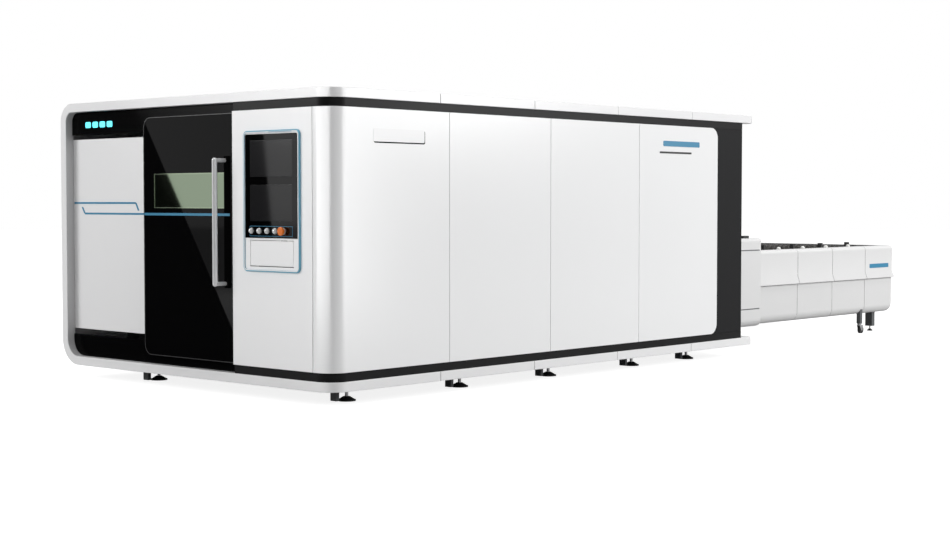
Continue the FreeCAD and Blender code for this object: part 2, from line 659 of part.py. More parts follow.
def door_track():
    """The web behind the lintel and the linear rail that the door hangs from."""
    back = LINTEL_FACE + LINTEL_DEPTH + SEAT
    top = ENCLOSURE_HEIGHT - RECESS_OFFSET - TOP_FRAME_RADIUS / 2
    rail_bottom = LINTEL_BOTTOM + TRACK_RAIL_ABOVE_LINTEL
    web_z = (LINTEL_BOTTOM + HANGER_RUN_GAP, top + TRACK_WEB_OVERLAP)
    web = block((TRACK_LEFT, LINTEL_RIGHT), (back, back + TRACK_WEB), web_z)
    rail = block((TRACK_LEFT, LINTEL_RIGHT), (back + TRACK_WEB, back + TRACK_WEB + TRACK_RAIL[0]),
                 (rail_bottom, rail_bottom + TRACK_RAIL[1]))
    return web.fuse(rail).removeSplitter()


def door_panel():
    """The glossy sliding door: a folded sheet with a cut-out for the window."""
    def face_of(inset):
        x0, x1 = DOOR_LEFT + inset, DOOR_RIGHT - inset
        z0, z1 = DOOR_BOTTOM + inset, DOOR_TOP - inset
        near, far = DOOR_RADIUS - inset, DOOR_HIDDEN_RADIUS - inset
        return outline([(x0, z0, near), (x1, z0, far), (x1, z1, far), (x0, z1, near)], "XZ")
    panel = tray(face_of, "Y", DOOR_FACE, DOOR_BACK, DOOR_FACE_SHEET)
    cutout = block((WINDOW_LEFT, WINDOW_LEFT + WINDOW_WIDTH), (DOOR_FACE - OVERCUT, DOOR_BACK + OVERCUT),
                   (WINDOW_BOTTOM, WINDOW_BOTTOM + WINDOW_HEIGHT))
    return panel.cut(cutout)


def door_window():
    y0 = DOOR_FACE + DOOR_FACE_SHEET + SEAT
    x = (WINDOW_LEFT - WINDOW_LAP, WINDOW_LEFT + WINDOW_WIDTH + WINDOW_LAP)
    z = (WINDOW_BOTTOM - WINDOW_LAP, WINDOW_BOTTOM + WINDOW_HEIGHT + WINDOW_LAP)
    return block(x, (y0, y0 + WINDOW_GLASS), z)


def door_handle():
    """A bar with rounded ends, held off the door by two posts."""
    radius = HANDLE_DIAMETER / 2
    low, high = HANDLE_BOTTOM + radius, HANDLE_TOP - radius
    shapes = [rod(HANDLE_DIAMETER, (HANDLE_X, HANDLE_Y, low), (HANDLE_X, HANDLE_Y, high))]
    for z in (low, high):
        shapes.append(Part.makeSphere(radius, Vector(HANDLE_X, HANDLE_Y, z)))
        shapes.append(rod(HANDLE_POST_DIAMETER, (HANDLE_X, HANDLE_Y, z), (HANDLE_X, DOOR_FACE, z)))
    return fuse(shapes)


def door_hangers():
    """Arms from the door's back, through the slot under the lintel, to bearings on the track."""
    web_back = LINTEL_FACE + LINTEL_DEPTH + SEAT + TRACK_WEB
    rail_back = web_back + TRACK_RAIL[0]
    rail_bottom = LINTEL_BOTTOM + TRACK_RAIL_ABOVE_LINTEL
    rail_top = rail_bottom + TRACK_RAIL[1]
    arm = (RECESS_PANEL_TOP + HANGER_RUN_GAP, LINTEL_BOTTOM - HANGER_RUN_GAP)
    hangers = []
    for x_center in HANGER_PLACES:
        x = around(x_center, HANGER_WIDTH)
        bearing = block(x, (web_back + SEAT, rail_back + TRACK_RAIL[0]),
                        (rail_bottom - TRACK_RAIL[0], rail_top + TRACK_RAIL[0]))
        groove_x = (x[0] - OVERCUT, x[1] + OVERCUT)
        groove = block(groove_x, (web_back, rail_back + SEAT), (rail_bottom - SEAT, rail_top + SEAT))
        strut_y = (rail_back + SEAT, rail_back + TRACK_RAIL[0])
        strut = block(x, strut_y, (arm[0], rail_bottom))
        shelf = block(x, (DOOR_BACK, rail_back + TRACK_RAIL[0]), arm)
        foot = block(x, (DOOR_BACK, DOOR_BACK + HANGER_PLATE), (arm[0] - HANGER_WIDTH, arm[0]))
        hangers.append(fuse([bearing.cut(groove), strut, shelf, foot]))
    return hangers


def control_panel():
    """The white panel that carries the console."""
    z = (PANEL_BOTTOM + SEAT, PANEL_TOP - SEAT)

    def face_of(inset):
        return outline([(CONTROL_PANEL_LEFT + inset, z[0] + inset),
                        (CORNER_PANEL_FRONT_EDGE - SEAM_GAP / 2 - inset, z[0] + inset),
                        (CORNER_PANEL_FRONT_EDGE - SEAM_GAP / 2 - inset, z[1] - inset),
                        (CONTROL_PANEL_LEFT + inset, z[1] - inset)], "XZ")
    panel = tray(face_of, "Y", 0, PANEL_DEPTH, SHEET)
    return panel.cut(extrude(console_face(BEZEL_WIDTH), "Y", -OVERCUT, PANEL_DEPTH + OVERCUT))


# ---- console -----------------------------------------------------------------------------
def console_face(inset):
    return rounded_rectangle((CONSOLE_LEFT + inset, CONSOLE_RIGHT - inset),
                             (CONSOLE_BOTTOM + inset, CONSOLE_TOP - inset), CONSOLE_RADIUS - inset, "XZ")


def console_bezel():
    """The blue ring round the console, bevelled towards the panel."""
    ring = extrude(console_face(0), "Y", -BEZEL_PROUD, -SEAT)
    ring = ring.cut(extrude(console_face(BEZEL_WIDTH), "Y", -BEZEL_PROUD - OVERCUT, OVERCUT))
    outer_edges = [edge for edge in ring.Edges if abs(edge.BoundBox.YMax + BEZEL_PROUD) < 1e-6]
    return ring.makeChamfer(BEZEL_WIDTH / 5, outer_edges)


def screen_ranges(z_center, gap):
    x_center = CONSOLE_CENTER + SCREEN_OFFSET
    return around(x_center, SCREEN_WIDTH + 2 * gap), around(z_center, SCREEN_HEIGHT + 2 * gap)


def button_places():
    return [BUTTON_FIRST + BUTTON_PITCH * i for i in range(BUTTON_COUNT)]


def control_holes(front, back):
    """Holes for the stems of the buttons and of the stop."""
    holes = []
    for x, stem in [(x, BUTTON_STEM) for x in button_places()] + [(STOP_X, STOP_STEM)]:
        holes.append(rod(stem + 4 * SEAT, (x, front, BUTTON_ROW_HEIGHT), (x, back, BUTTON_ROW_HEIGHT)))
    return holes


def console_housing():
    """The box behind the bezel: front plate, openings, and the fixed pin that the flap turns on."""
    inset = BEZEL_WIDTH + SEAT
    shell = extrude(console_face(inset), "Y", -HOUSING_PROUD, CONSOLE_DEPTH)
    shell = shell.cut(extrude(console_face(inset + HOUSING_WALL), "Y", HOUSING_WALL - HOUSING_PROUD,
                              CONSOLE_DEPTH + OVERCUT))
    cuts = control_holes(-HOUSING_PROUD - OVERCUT, CONSOLE_DEPTH)
    for z_center in SCREEN_CENTERS:
        x, z = screen_ranges(z_center, SEAT)
        cuts.append(block(x, (-HOUSING_PROUD - OVERCUT, 0), z))
    x, z = flap_ranges(FLAP_GAP)
    cuts.append(block(x, (-HOUSING_PROUD - OVERCUT, 0), z))
    lugs = []
    for end, inward in ((x[0], 1), (x[1], -1)):
        lug_x = sorted((end, end - inward * HOUSING_WALL))
        lugs.append(block(lug_x, (-HOUSING_PROUD, FLAP_BARREL), around(HINGE_Z, FLAP_BARREL)))
    pin_x = pin_span()
    pin = rod(FLAP_PIN, (pin_x[0], HINGE_Y, HINGE_Z), (pin_x[1], HINGE_Y, HINGE_Z))
    return fuse([shell.cut(fuse(cuts)), pin] + lugs)


def flap_ranges(gap):
    x = around(CONSOLE_CENTER + SCREEN_OFFSET, FLAP_WIDTH + 2 * gap)
    return x, (FLAP_BOTTOM - gap, FLAP_BOTTOM + FLAP_HEIGHT + gap)


def pin_span():
    x, _ = flap_ranges(FLAP_GAP)
    return (x[0] - HOUSING_WALL, x[1] + HOUSING_WALL)


def console_glass():
    """The black glass, with openings that the two screens fill."""
    inset = BEZEL_WIDTH + GLASS_MARGIN
    radius = CONSOLE_RADIUS - inset
    x0, x1 = CONSOLE_LEFT + inset, CONSOLE_RIGHT - inset
    top = CONSOLE_TOP - inset
    face = outline([(x0, GLASS_BOTTOM), (x1, GLASS_BOTTOM), (x1, top, radius), (x0, top, radius)], "XZ")
    cuts = control_holes(GLASS_FRONT - OVERCUT, GLASS_BACK + OVERCUT)
    for z_center in SCREEN_CENTERS:
        x, z = screen_ranges(z_center, SEAT)
        cuts.append(block(x, (GLASS_FRONT - OVERCUT, GLASS_BACK + OVERCUT), z))
    return extrude(face, "Y", GLASS_FRONT, GLASS_BACK).cut(fuse(cuts))


def console_screens():
    screens = []
    for z_center in SCREEN_CENTERS:
        x, z = screen_ranges(z_center, 0)
        screens.append(block(x, (GLASS_FRONT + SEAT, GLASS_FRONT + SEAT + SCREEN_DEPTH), z))
    return screens


def button_collars():
    """The rings that the buttons and the stop slide in, seated on the glass."""
    collars = []
    for x, stem in [(x, BUTTON_STEM) for x in button_places()] + [(STOP_X, STOP_STEM)]:
        start, end = (x, COLLAR_FRONT, BUTTON_ROW_HEIGHT), (x, GLASS_FRONT - SEAT, BUTTON_ROW_HEIGHT)
        bore_end = (x, GLASS_FRONT, BUTTON_ROW_HEIGHT)
        collars.append(rod(stem + 2 * COLLAR_RIM, start, end).cut(rod(stem + 2 * SEAT, start, bore_end)))
    return collars


def push_button(x):
    """A stem with a domed metal head."""
    underside = COLLAR_FRONT - BUTTON_TRAVEL - PRESS_ROOM
    z = BUTTON_ROW_HEIGHT
    stem = rod(BUTTON_STEM, (x, underside, z), (x, underside + BUTTON_STEM_LENGTH, z))
    half = BUTTON_HEAD / 2
    sphere_radius = (half ** 2 + BUTTON_DOME ** 2) / (2 * BUTTON_DOME)
    center = Vector(x, underside - BUTTON_DOME + sphere_radius, z)
    disc = rod(BUTTON_HEAD, (x, underside - BUTTON_DOME - OVERCUT, z), (x, underside, z))
    return stem.fuse(disc.common(Part.makeSphere(sphere_radius, center))).removeSplitter()


def emergency_stop():
    """A mushroom head on a stem."""
    underside = COLLAR_FRONT - STOP_TRAVEL - PRESS_ROOM
    front = underside - STOP_THICKNESS
    z = BUTTON_ROW_HEIGHT
    stem = rod(STOP_STEM, (STOP_X, underside, z), (STOP_X, underside + BUTTON_STEM_LENGTH, z))
    head = rod(STOP_HEAD, (STOP_X, front, z), (STOP_X, underside - STOP_THICKNESS / 3, z))
    head = head.makeFillet(STOP_THICKNESS / 4, head.Edges)
    neck = Part.makeCone(STOP_STEM / 2, STOP_HEAD / 2 - STOP_THICKNESS / 4, STOP_THICKNESS / 3,
                         Vector(STOP_X, underside, z), Vector(0, -1, 0))
    return fuse([stem, neck, head])


def keyboard_flap():
    """The cover of the keyboard shelf, with a hinge barrel along its lower edge."""
    x, z = flap_ranges(0)
    y = (-HOUSING_PROUD, -HOUSING_PROUD + FLAP_SHEET)
    plate = block(x, y, (HINGE_Z, z[1]))
    barrel = rod(FLAP_BARREL, (x[0], HINGE_Y, HINGE_Z), (x[1], HINGE_Y, HINGE_Z))
    bore_ends = [(end, HINGE_Y, HINGE_Z) for end in (x[0] - OVERCUT, x[1] + OVERCUT)]
    bore = rod(FLAP_PIN + 2 * PIN_CLEARANCE, *bore_ends)
    return plate.fuse(barrel).cut(bore).removeSplitter()


def keyboard():
    width, thickness, height = KEYBOARD_SIZE
    back = -HOUSING_PROUD + FLAP_SHEET
    z0 = HINGE_Z + KEYBOARD_FROM_HINGE
    return block(around(CONSOLE_CENTER + SCREEN_OFFSET, width), (back, back + thickness), (z0, z0 + height))


# ---- feet --------------------------------------------------------------------------------
def machine_feet():
    """Places of the levelling feet under the bed."""
    inset = HALF - SIDE_FOOT_INSET
    right = [(inset, y) for y in SIDE_FOOT_PLACES]
    left = [(-inset, y) for y in SIDE_FOOT_PLACES[1:]]
    return right + left + [FRONT_FOOT]


def table_feet():
    return [(side * TABLE_FOOT_X, TABLE_FOOT_Y) for side in SIDES.values()]


def foot_pad(x, y, diameter, height, stud):
    rim = rod(diameter, (x, y, 0), (x, y, FOOT_PAD_RIM))
    foot_radius = diameter / 2 - FOOT_PAD_RIM / 2
    dome = Part.makeCone(foot_radius, stud, height - FOOT_PAD_RIM, Vector(x, y, FOOT_PAD_RIM))
    socket = rod(stud + 2 * SEAT, (x, y, height - FOOT_PAD_RIM), (x, y, height + OVERCUT))
    return rim.fuse(dome).cut(socket).removeSplitter()


def hexagon(x, y, across, bottom, top):
    corner = across / math.sqrt(3)
    angles = [math.radians(60 * i) for i in range(6)]
    return extrude(outline([(x + corner * math.cos(a), y + corner * math.sin(a)) for a in angles], "XY"),
                   "Z", bottom, top)


def foot_pads():
    machine_pad = (FOOT_PAD, FOOT_PAD_HEIGHT, FOOT_STUD)
    table_pad = (TABLE_FOOT_PAD, TABLE_FOOT_PAD_HEIGHT, TABLE_FOOT_STUD)
    pads = [foot_pad(x, y, *machine_pad) for x, y in machine_feet()]
    return pads + [foot_pad(x, y, *table_pad) for x, y in table_feet()]


def foot_studs():
    studs = []
    for x, y in machine_feet():
        bottom = FOOT_PAD_HEIGHT - FOOT_PAD_RIM + SEAT
        nut_top = BED_UNDERSIDE - SEAT
        nut = hexagon(x, y, FOOT_NUT, nut_top - FOOT_NUT_HEIGHT, nut_top)
        studs.append(rod(FOOT_STUD, (x, y, bottom), (x, y, nut_top)).fuse(nut).removeSplitter())
    for x, y in table_feet():
        bottom = TABLE_FOOT_PAD_HEIGHT - FOOT_PAD_RIM + SEAT
        studs.append(rod(TABLE_FOOT_STUD, (x, y, bottom), (x, y, TABLE_FOOT_COLUMN_BOTTOM - SEAT)))
    return studs


# ---- bed and gantry ----------------------------------------------------------------------
def bed_frame():
    """The welded bed, tube by tube: crossbars on the feet, side beams, track ledges and anchors."""
    bars = []
    reach = HALF - RAIL_DEPTH - SEAT
    left_reach = HALF - BASE_FRAME_RADIUS - SEAT
    z = (BED_UNDERSIDE, CROSSBAR_TOP)
    front_bar = (SIDE_FOOT_PLACES[0] + FRONT_FOOT[1]) / 2
    for y in [front_bar] + list(SIDE_FOOT_PLACES[1:]):
        crossbar = tube((-left_reach, reach), around(y, CROSSBAR_WIDTH), z, "X", TUBE_WALL)
        base_z = (RAIL_UNDERSIDE + RAIL_WALL + SEAT, BED_UNDERSIDE + TUBE_WALL)
        base_x = (reach - CROSSBAR_WIDTH, HALF - RAIL_WALL - SEAT)
        bars.append(fuse([crossbar, block(base_x, around(y, CROSSBAR_WIDTH), base_z)]))
    for side in SIDES.values():
        x = on_side(side, BED_BEAM_INNER, BED_BEAM_OUTER)
        bars.append(tube(x, (BED_START, BED_END), (CROSSBAR_TOP, BED_BEAM_TOP), "Y", TUBE_WALL))
        for drop in LEVELS.values():
            top = CHORD_TOP + drop
            ledge_x = on_side(side, BED_BEAM_INNER - LEDGE_WIDTH, BED_BEAM_INNER)
            bars.append(tube(ledge_x, (BED_TRACK_START, BED_END), (top - CHORD_HEIGHT, top), "Y", TUBE_WALL))
    for x, y in machine_feet():
        post = block(around(x, ANCHOR_SIZE[0]), around(y - ANCHOR_OFFSET, ANCHOR_SIZE[1]),
                     (ANCHOR_FLOOR_GAP, BED_UNDERSIDE))
        plate_y = (y - ANCHOR_OFFSET, y - FOOT_NUT / math.sqrt(3) - SEAT)
        plate_z = (BED_UNDERSIDE - TUBE_WALL, BED_UNDERSIDE)
        bars.append(fuse([post, block(around(x, ANCHOR_SIZE[0]), plate_y, plate_z)]))
    return bars


def gantry_rails():
    y = (BED_START + GANTRY_RAIL_END_GAP, BED_END - GANTRY_RAIL_END_GAP)
    rails = []
    for side in SIDES.values():
        x = around(side * RAIL_CENTER_X, GANTRY_RAIL[0])
        rails.append(block(x, y, (BED_BEAM_TOP, BED_BEAM_TOP + GANTRY_RAIL[1])))
    return rails


def gear_racks():
    y = (BED_START + GANTRY_RAIL_END_GAP, BED_END - GANTRY_RAIL_END_GAP)
    racks = []
    for side in SIDES.values():
        x = on_side(side, BED_BEAM_OUTER, BED_BEAM_OUTER + RACK_SIZE[0])
        racks.append(block(x, y, (BED_BEAM_TOP - RACK_SIZE[1] * 2, BED_BEAM_TOP - RACK_SIZE[1])))
    return racks


def beam_front():
    return GANTRY_REST - GANTRY_BEAM[0] / 2


def beam_rail_heights():
    low = GANTRY_BEAM_BOTTOM + BEAM_RAIL_INSET
    high = GANTRY_BEAM_BOTTOM + GANTRY_BEAM[1] - BEAM_RAIL_INSET - BEAM_RAIL[0]
    return (low, high)


def gantry_beam():
    """The travelling beam, its legs with bearings on the rails, and the drive housings."""
    length = BED_BEAM_OUTER
    beam_z = (GANTRY_BEAM_BOTTOM, GANTRY_BEAM_BOTTOM + GANTRY_BEAM[1])
    shapes = [tube((-length, length), around(GANTRY_REST, GANTRY_BEAM[0]), beam_z, "X", GANTRY_WALL)]
    for z0 in beam_rail_heights():
        rail_y = (beam_front() - BEAM_RAIL[1], beam_front())
        shapes.append(block((-BED_BEAM_INNER, BED_BEAM_INNER), rail_y, (z0, z0 + BEAM_RAIL[0])))
    bearing_z = (BED_BEAM_TOP + SEAT, BED_BEAM_TOP + BEARING_HEIGHT)
    for side in SIDES.values():
        leg_x = on_side(side, BED_BEAM_INNER, BED_BEAM_OUTER)
        leg_z = (bearing_z[1], GANTRY_BEAM_BOTTOM)
        shapes.append(block(leg_x, around(GANTRY_REST, GANTRY_LEG_LENGTH), leg_z))
        groove = block(around(side * RAIL_CENTER_X, GANTRY_RAIL[0] + 2 * SEAT),
                       (GANTRY_REST - GANTRY_LEG_LENGTH, GANTRY_REST + GANTRY_LEG_LENGTH),
                       (BED_BEAM_TOP, BED_BEAM_TOP + GANTRY_RAIL[1] + SEAT))
        for end in (-1, 1):
            y = around(GANTRY_REST + end * (GANTRY_LEG_LENGTH - BEARING_LENGTH) / 2, BEARING_LENGTH)
            bearing = block(around(side * RAIL_CENTER_X, 2 * GANTRY_RAIL[0]), y, bearing_z)
            shapes.append(bearing.cut(groove))
        motor_x = on_side(side, BED_BEAM_OUTER, BED_BEAM_OUTER + MOTOR_SIZE[0])
        shapes.append(block(motor_x, around(GANTRY_REST, MOTOR_SIZE[1]),
                            (GANTRY_BEAM_BOTTOM - MOTOR_SIZE[2], GANTRY_BEAM_BOTTOM)))
    return fuse(shapes)


def gantry_carriage():
    """The cross carriage: bearings on the beam's two rails, a plate and the head's cover."""
    width, thickness, height = CARRIAGE_SIZE
    back = beam_front() - BEAM_RAIL[1] - SEAT
    bottom = GANTRY_BEAM_BOTTOM + (GANTRY_BEAM[1] - height) / 2
    shapes = [block(around(0, width), (back - thickness, back), (bottom, bottom + height))]
    for z0 in beam_rail_heights():
        for end in (-1, 1):
            x = around(end * width / 3, width / 5)
            bearing = block(x, (back, beam_front() - SEAT), (z0 - BEAM_RAIL[0], z0 + 2 * BEAM_RAIL[0]))
            groove_x = (x[0] - OVERCUT, x[1] + OVERCUT)
            groove_z = (z0 - SEAT, z0 + BEAM_RAIL[0] + SEAT)
            groove = block(groove_x, (back - OVERCUT, beam_front()), groove_z)
            shapes.append(bearing.cut(groove))
    cover_y = (back - thickness - CARRIAGE_COVER[1], back - thickness)
    cover = block(around(0, CARRIAGE_COVER[0]), cover_y,
                  (bottom + height - CARRIAGE_COVER[2] * 2 / 3, bottom + height))
    slot_z = (bottom - OVERCUT, bottom + height + OVERCUT)
    slot = block(around(0, HEAD_BODY[0] + 2 * SEAT), (cover_y[0] - OVERCUT, back - thickness), slot_z)
    return fuse(shapes + [cover.cut(slot)])


def cutting_head():
    """The head's body, lens barrel and nozzle, sliding up and down on the carriage."""
    back = beam_front() - BEAM_RAIL[1] - SEAT - CARRIAGE_SIZE[1] - SEAT
    y_center = back - HEAD_BODY[1] / 2
    nozzle_top = HEAD_TIP_REST + NOZZLE_LENGTH
    barrel_top = nozzle_top + HEAD_BARREL_LENGTH
    body_top = barrel_top + HEAD_BODY[2]
    tip = Vector(0, y_center, HEAD_TIP_REST)
    nozzle = Part.makeCone(NOZZLE_TIP / 2, HEAD_BARREL / 3, NOZZLE_LENGTH, tip)
    barrel = rod(HEAD_BARREL, (0, y_center, nozzle_top), (0, y_center, barrel_top))
    body = block(around(0, HEAD_BODY[0]), around(y_center, HEAD_BODY[1]), (barrel_top, body_top))
    cap = rod(HEAD_BARREL, (0, y_center, body_top), (0, y_center, body_top + HEAD_CAP_HEIGHT))
    return fuse([nozzle, barrel, body, cap])


def cabinets():
    """The electrical cabinet on the right and the laser source on the left, closed blocks."""
    right_x = (HALF - STRIPE_INSET - STRIPE_DEPTH - CABINET_CLEARANCE - CABINET_WIDTH,
               HALF - STRIPE_INSET - STRIPE_DEPTH - CABINET_CLEARANCE)
    left_x = (BASE_FRAME_RADIUS + SEAT - HALF, -BED_BEAM_OUTER - RACK_SIZE[0] - CABINET_CLEARANCE)
    shapes = []
    for x, (start, end, height) in ((right_x, ELECTRICAL_CABINET), (left_x, LASER_SOURCE)):
        shapes.append(block(x, (start, end), (CROSSBAR_TOP + SEAT, CROSSBAR_TOP + SEAT + height)))
    return shapes


# ---- pallets -----------------------------------------------------------------------------
def pallet_start(level):
    """The upper pallet waits outside on the table, the lower one inside the machine."""
    return PALLET_OUTSIDE_START if level == "upper" else PALLET_OUTSIDE_START - PALLET_TRAVEL


def pallet_frame(level):
    """The pallet's welded frame of channel, open underneath, with stub axles for four wheels."""
    bottom = FRAME_BOTTOM + LEVELS[level]
    z = (bottom, bottom + PALLET_TUBE[1])
    y0 = pallet_start(level)
    y1 = y0 + PALLET_LENGTH
    half = PALLET_HALF_WIDTH

    def ring(outer, inner, heights):
        rings = []
        for inset in (outer, inner):
            rings.append(block((inset - half, half - inset), (y0 + inset, y1 - inset), heights))
        return rings[0].cut(rings[1])
    width, wall = PALLET_TUBE[0], PALLET_TUBE_WALL
    skin = ring(0, width, z)
    shapes = [skin.cut(ring(wall, width - wall, (z[0] - OVERCUT, z[1] - wall)))]
    axle_z = AXLE_HEIGHT + LEVELS[level]
    for side in SIDES.values():
        for y in (y0 + AXLE_FROM_END, y1 - AXLE_FROM_END):
            inner = half + WHEEL_GAP
            tip = inner + WHEEL_WIDTH + 2 * SEAT
            shapes.append(rod(AXLE_DIAMETER, (side * (half - OVERCUT), y, axle_z), (side * tip, y, axle_z)))
            head_ends = [(side * x, y, axle_z) for x in (half - OVERCUT, inner - SEAT)]
            shapes.append(rod(AXLE_HEAD, *head_ends))
            shapes.append(rod(AXLE_HEAD, (side * tip, y, axle_z), (side * (tip + AXLE_CAP), y, axle_z)))
    return fuse(shapes)


def pallet_slats(level):
    """Saw-toothed support slats, standing on edge across the pallet."""
    top = PALLET_TIP + LEVELS[level]
    half = PALLET_HALF_WIDTH - PALLET_TUBE[0] - SEAT
    pitch = 2 * half / SLAT_TOOTH_COUNT
    teeth = []
    for i in range(SLAT_TOOTH_COUNT):
        teeth.append((half - pitch * i, top - SLAT_TOOTH_DEPTH))
        teeth.append((half - pitch * (i + 0.5), top))
    teeth.append((-half, top - SLAT_TOOTH_DEPTH))
    face = outline([(-half, top - SLAT_HEIGHT), (half, top - SLAT_HEIGHT)] + teeth, "XZ")
    y0 = pallet_start(level) + PALLET_TUBE[0]
    spacing = (PALLET_LENGTH - 2 * PALLET_TUBE[0]) / (SLAT_COUNT + 1)
    return [extrude(face, "Y", *around(y0 + spacing * (i + 1), SLAT_THICKNESS)) for i in range(SLAT_COUNT)]


def pallet_wheels(level, from_start):
    """The two wheels on one axle line of a pallet."""
    y0 = pallet_start(level)
    y = y0 + AXLE_FROM_END if from_start else y0 + PALLET_LENGTH - AXLE_FROM_END
    z = AXLE_HEIGHT + LEVELS[level]
    wheels = []
    for side in SIDES.values():
        inner = PALLET_HALF_WIDTH + WHEEL_GAP
        ends = [(side * (inner + reach), y, z) for reach in (0, WHEEL_WIDTH)]
        wheels.append(rod(WHEEL_DIAMETER, *ends).cut(rod(AXLE_DIAMETER + 2 * AXLE_CLEARANCE, *ends)))
    return wheels


def pallet_tracks():
    """The plates that the wheels run on: two levels, in the bed and on the table."""
    tracks = []
    for side in SIDES.values():
        x = on_side(side, TRACK_PLATE_INNER, TRACK_PLATE_OUTER)
        for drop in LEVELS.values():
            z = (CHORD_TOP + drop, TRACK_TOP + drop)
            tracks.append(block(x, (BED_TRACK_START, BED_END), z))
            tracks.append(block(x, (BED_END + SEAT, TABLE_TRACK_END), z))
    return tracks


# ---- shuttle table -----------------------------------------------------------------------
def upper_cover_section(side):
    """Cross-section of the upper covers: deck, rounded edge, side and the sloping ledge."""
    t = COVER_SHEET
    slope = LEDGE_TOP - LEDGE_DROP
    bottom = TABLE_SPLIT + SEAM_GAP / 2
    w = TABLE_HALF_WIDTH
    points = [(w - TABLE_DECK, TABLE_TOP), (w, TABLE_TOP, TABLE_TOP_RADIUS), (w, LEDGE_TOP),
              (w + LEDGE_PROUD, slope), (w + LEDGE_PROUD, bottom), (w - LEDGE_PROUD, bottom),
              (w - LEDGE_PROUD, bottom + t), (w + LEDGE_PROUD - t, bottom + t),
              (w + LEDGE_PROUD - t, slope),
              (w - t, LEDGE_TOP), (w - t, TABLE_TOP - t, TABLE_TOP_RADIUS - t),
              (w - TABLE_DECK, TABLE_TOP - t)]
    return outline([(side * p[0],) + p[1:] for p in points], "XZ")


def lower_cover_section(side):
    """Cross-section of the lower covers: side and the edge that curls in under the table."""
    t = COVER_SHEET
    top = TABLE_SPLIT - SEAM_GAP / 2
    w = TABLE_HALF_WIDTH - TABLE_LOWER_INSET
    inner = w - TABLE_BOTTOM_RADIUS - t
    points = [(w - LEDGE_PROUD, top), (w, top), (w, TABLE_BOTTOM, TABLE_BOTTOM_RADIUS),
              (inner, TABLE_BOTTOM),
              (inner, TABLE_BOTTOM + t), (w - t, TABLE_BOTTOM + t, TABLE_BOTTOM_RADIUS - t),
              (w - t, top - t), (w - LEDGE_PROUD, top - t)]
    return outline([(side * p[0],) + p[1:] for p in points], "XZ")


def caster_notch(side):
    """Room for the caster's column where it comes down through the lower cover's curled edge."""
    size = CASTER_COLUMN + 2 * LINER_SHEET
    return block(around(side * CASTER_X, size), around(CASTER_Y, size),
                 (TABLE_BOTTOM - OVERCUT, TABLE_BOTTOM + TABLE_BOTTOM_RADIUS))


def cover_set(section):
    """Straight covers on both sides, and the end cover that wraps the rear end."""
    covers = []
    for side in SIDES.values():
        for start, end in zip(COVER_SEAMS, COVER_SEAMS[1:]):
            cover = extrude(section(side), "Y", start + SEAM_GAP / 2, end - SEAM_GAP / 2)
            covers.append(cover.cut(caster_notch(side)))
    turn_y = TABLE_END - TABLE_CORNER_RADIUS
    turn_x = TABLE_HALF_WIDTH - TABLE_CORNER_RADIUS
    wrap = []
    for side in SIDES.values():
        wrap.append(extrude(section(side), "Y", COVER_SEAMS[-1] + SEAM_GAP / 2, turn_y))
        at_turn = section(side).translated(Vector(0, turn_y, 0))
        wrap.append(at_turn.revolve(Vector(side * turn_x, turn_y, 0), Vector(0, 0, side), 90))
    across = section(1).translated(Vector(0, turn_y, 0))
    across.rotate(Vector(turn_x, turn_y, 0), Vector(0, 0, 1), 90)
    wrap.append(across.extrude(Vector(-2 * turn_x, 0, 0)))
    return covers + [fuse(wrap)]


def table_shroud():
    """The taller covers next to the enclosure, with a rounded vertical edge at their rear."""
    t = COVER_SHEET
    half = TABLE_HALF_WIDTH + SHROUD_PROUD
    end = COVER_SEAMS[0] - SEAM_GAP / 2
    start = CLADDING_END + SEAT
    shrouds = []
    for side in SIDES.values():
        pieces = []
        for inset in (0, t):
            w = half - inset
            section = outline([(side * (half - TABLE_DECK - inset), SHROUD_TOP - inset),
                               (side * w, SHROUD_TOP - inset, TABLE_TOP_RADIUS - inset),
                               (side * w, SHROUD_BOTTOM + inset, TABLE_BOTTOM_RADIUS - inset),
                               (side * (half - TABLE_DECK - inset), SHROUD_BOTTOM + inset)], "XZ")
            plan = outline([(side * (half - 2 * TABLE_DECK), start - OVERCUT), (side * w, start - OVERCUT),
                            (side * w, end - inset, SHROUD_CORNER_RADIUS - inset),
                            (side * (half - 2 * TABLE_DECK), end - inset)], "XY")
            run = extrude(section, "Y", start - inset, end - inset)
            pieces.append(run.common(extrude(plan, "Z", 0, SHROUD_TOP + OVERCUT)))
        shroud = pieces[0].cut(pieces[1])
        inner_end = block(on_side(side, 0, TABLE_HALF_WIDTH - SHROUD_PROUD),
                          (end - t - OVERCUT, end + OVERCUT),
                          (0, SHROUD_TOP - t))
        shrouds.append(shroud.cut(inner_end))
    return shrouds


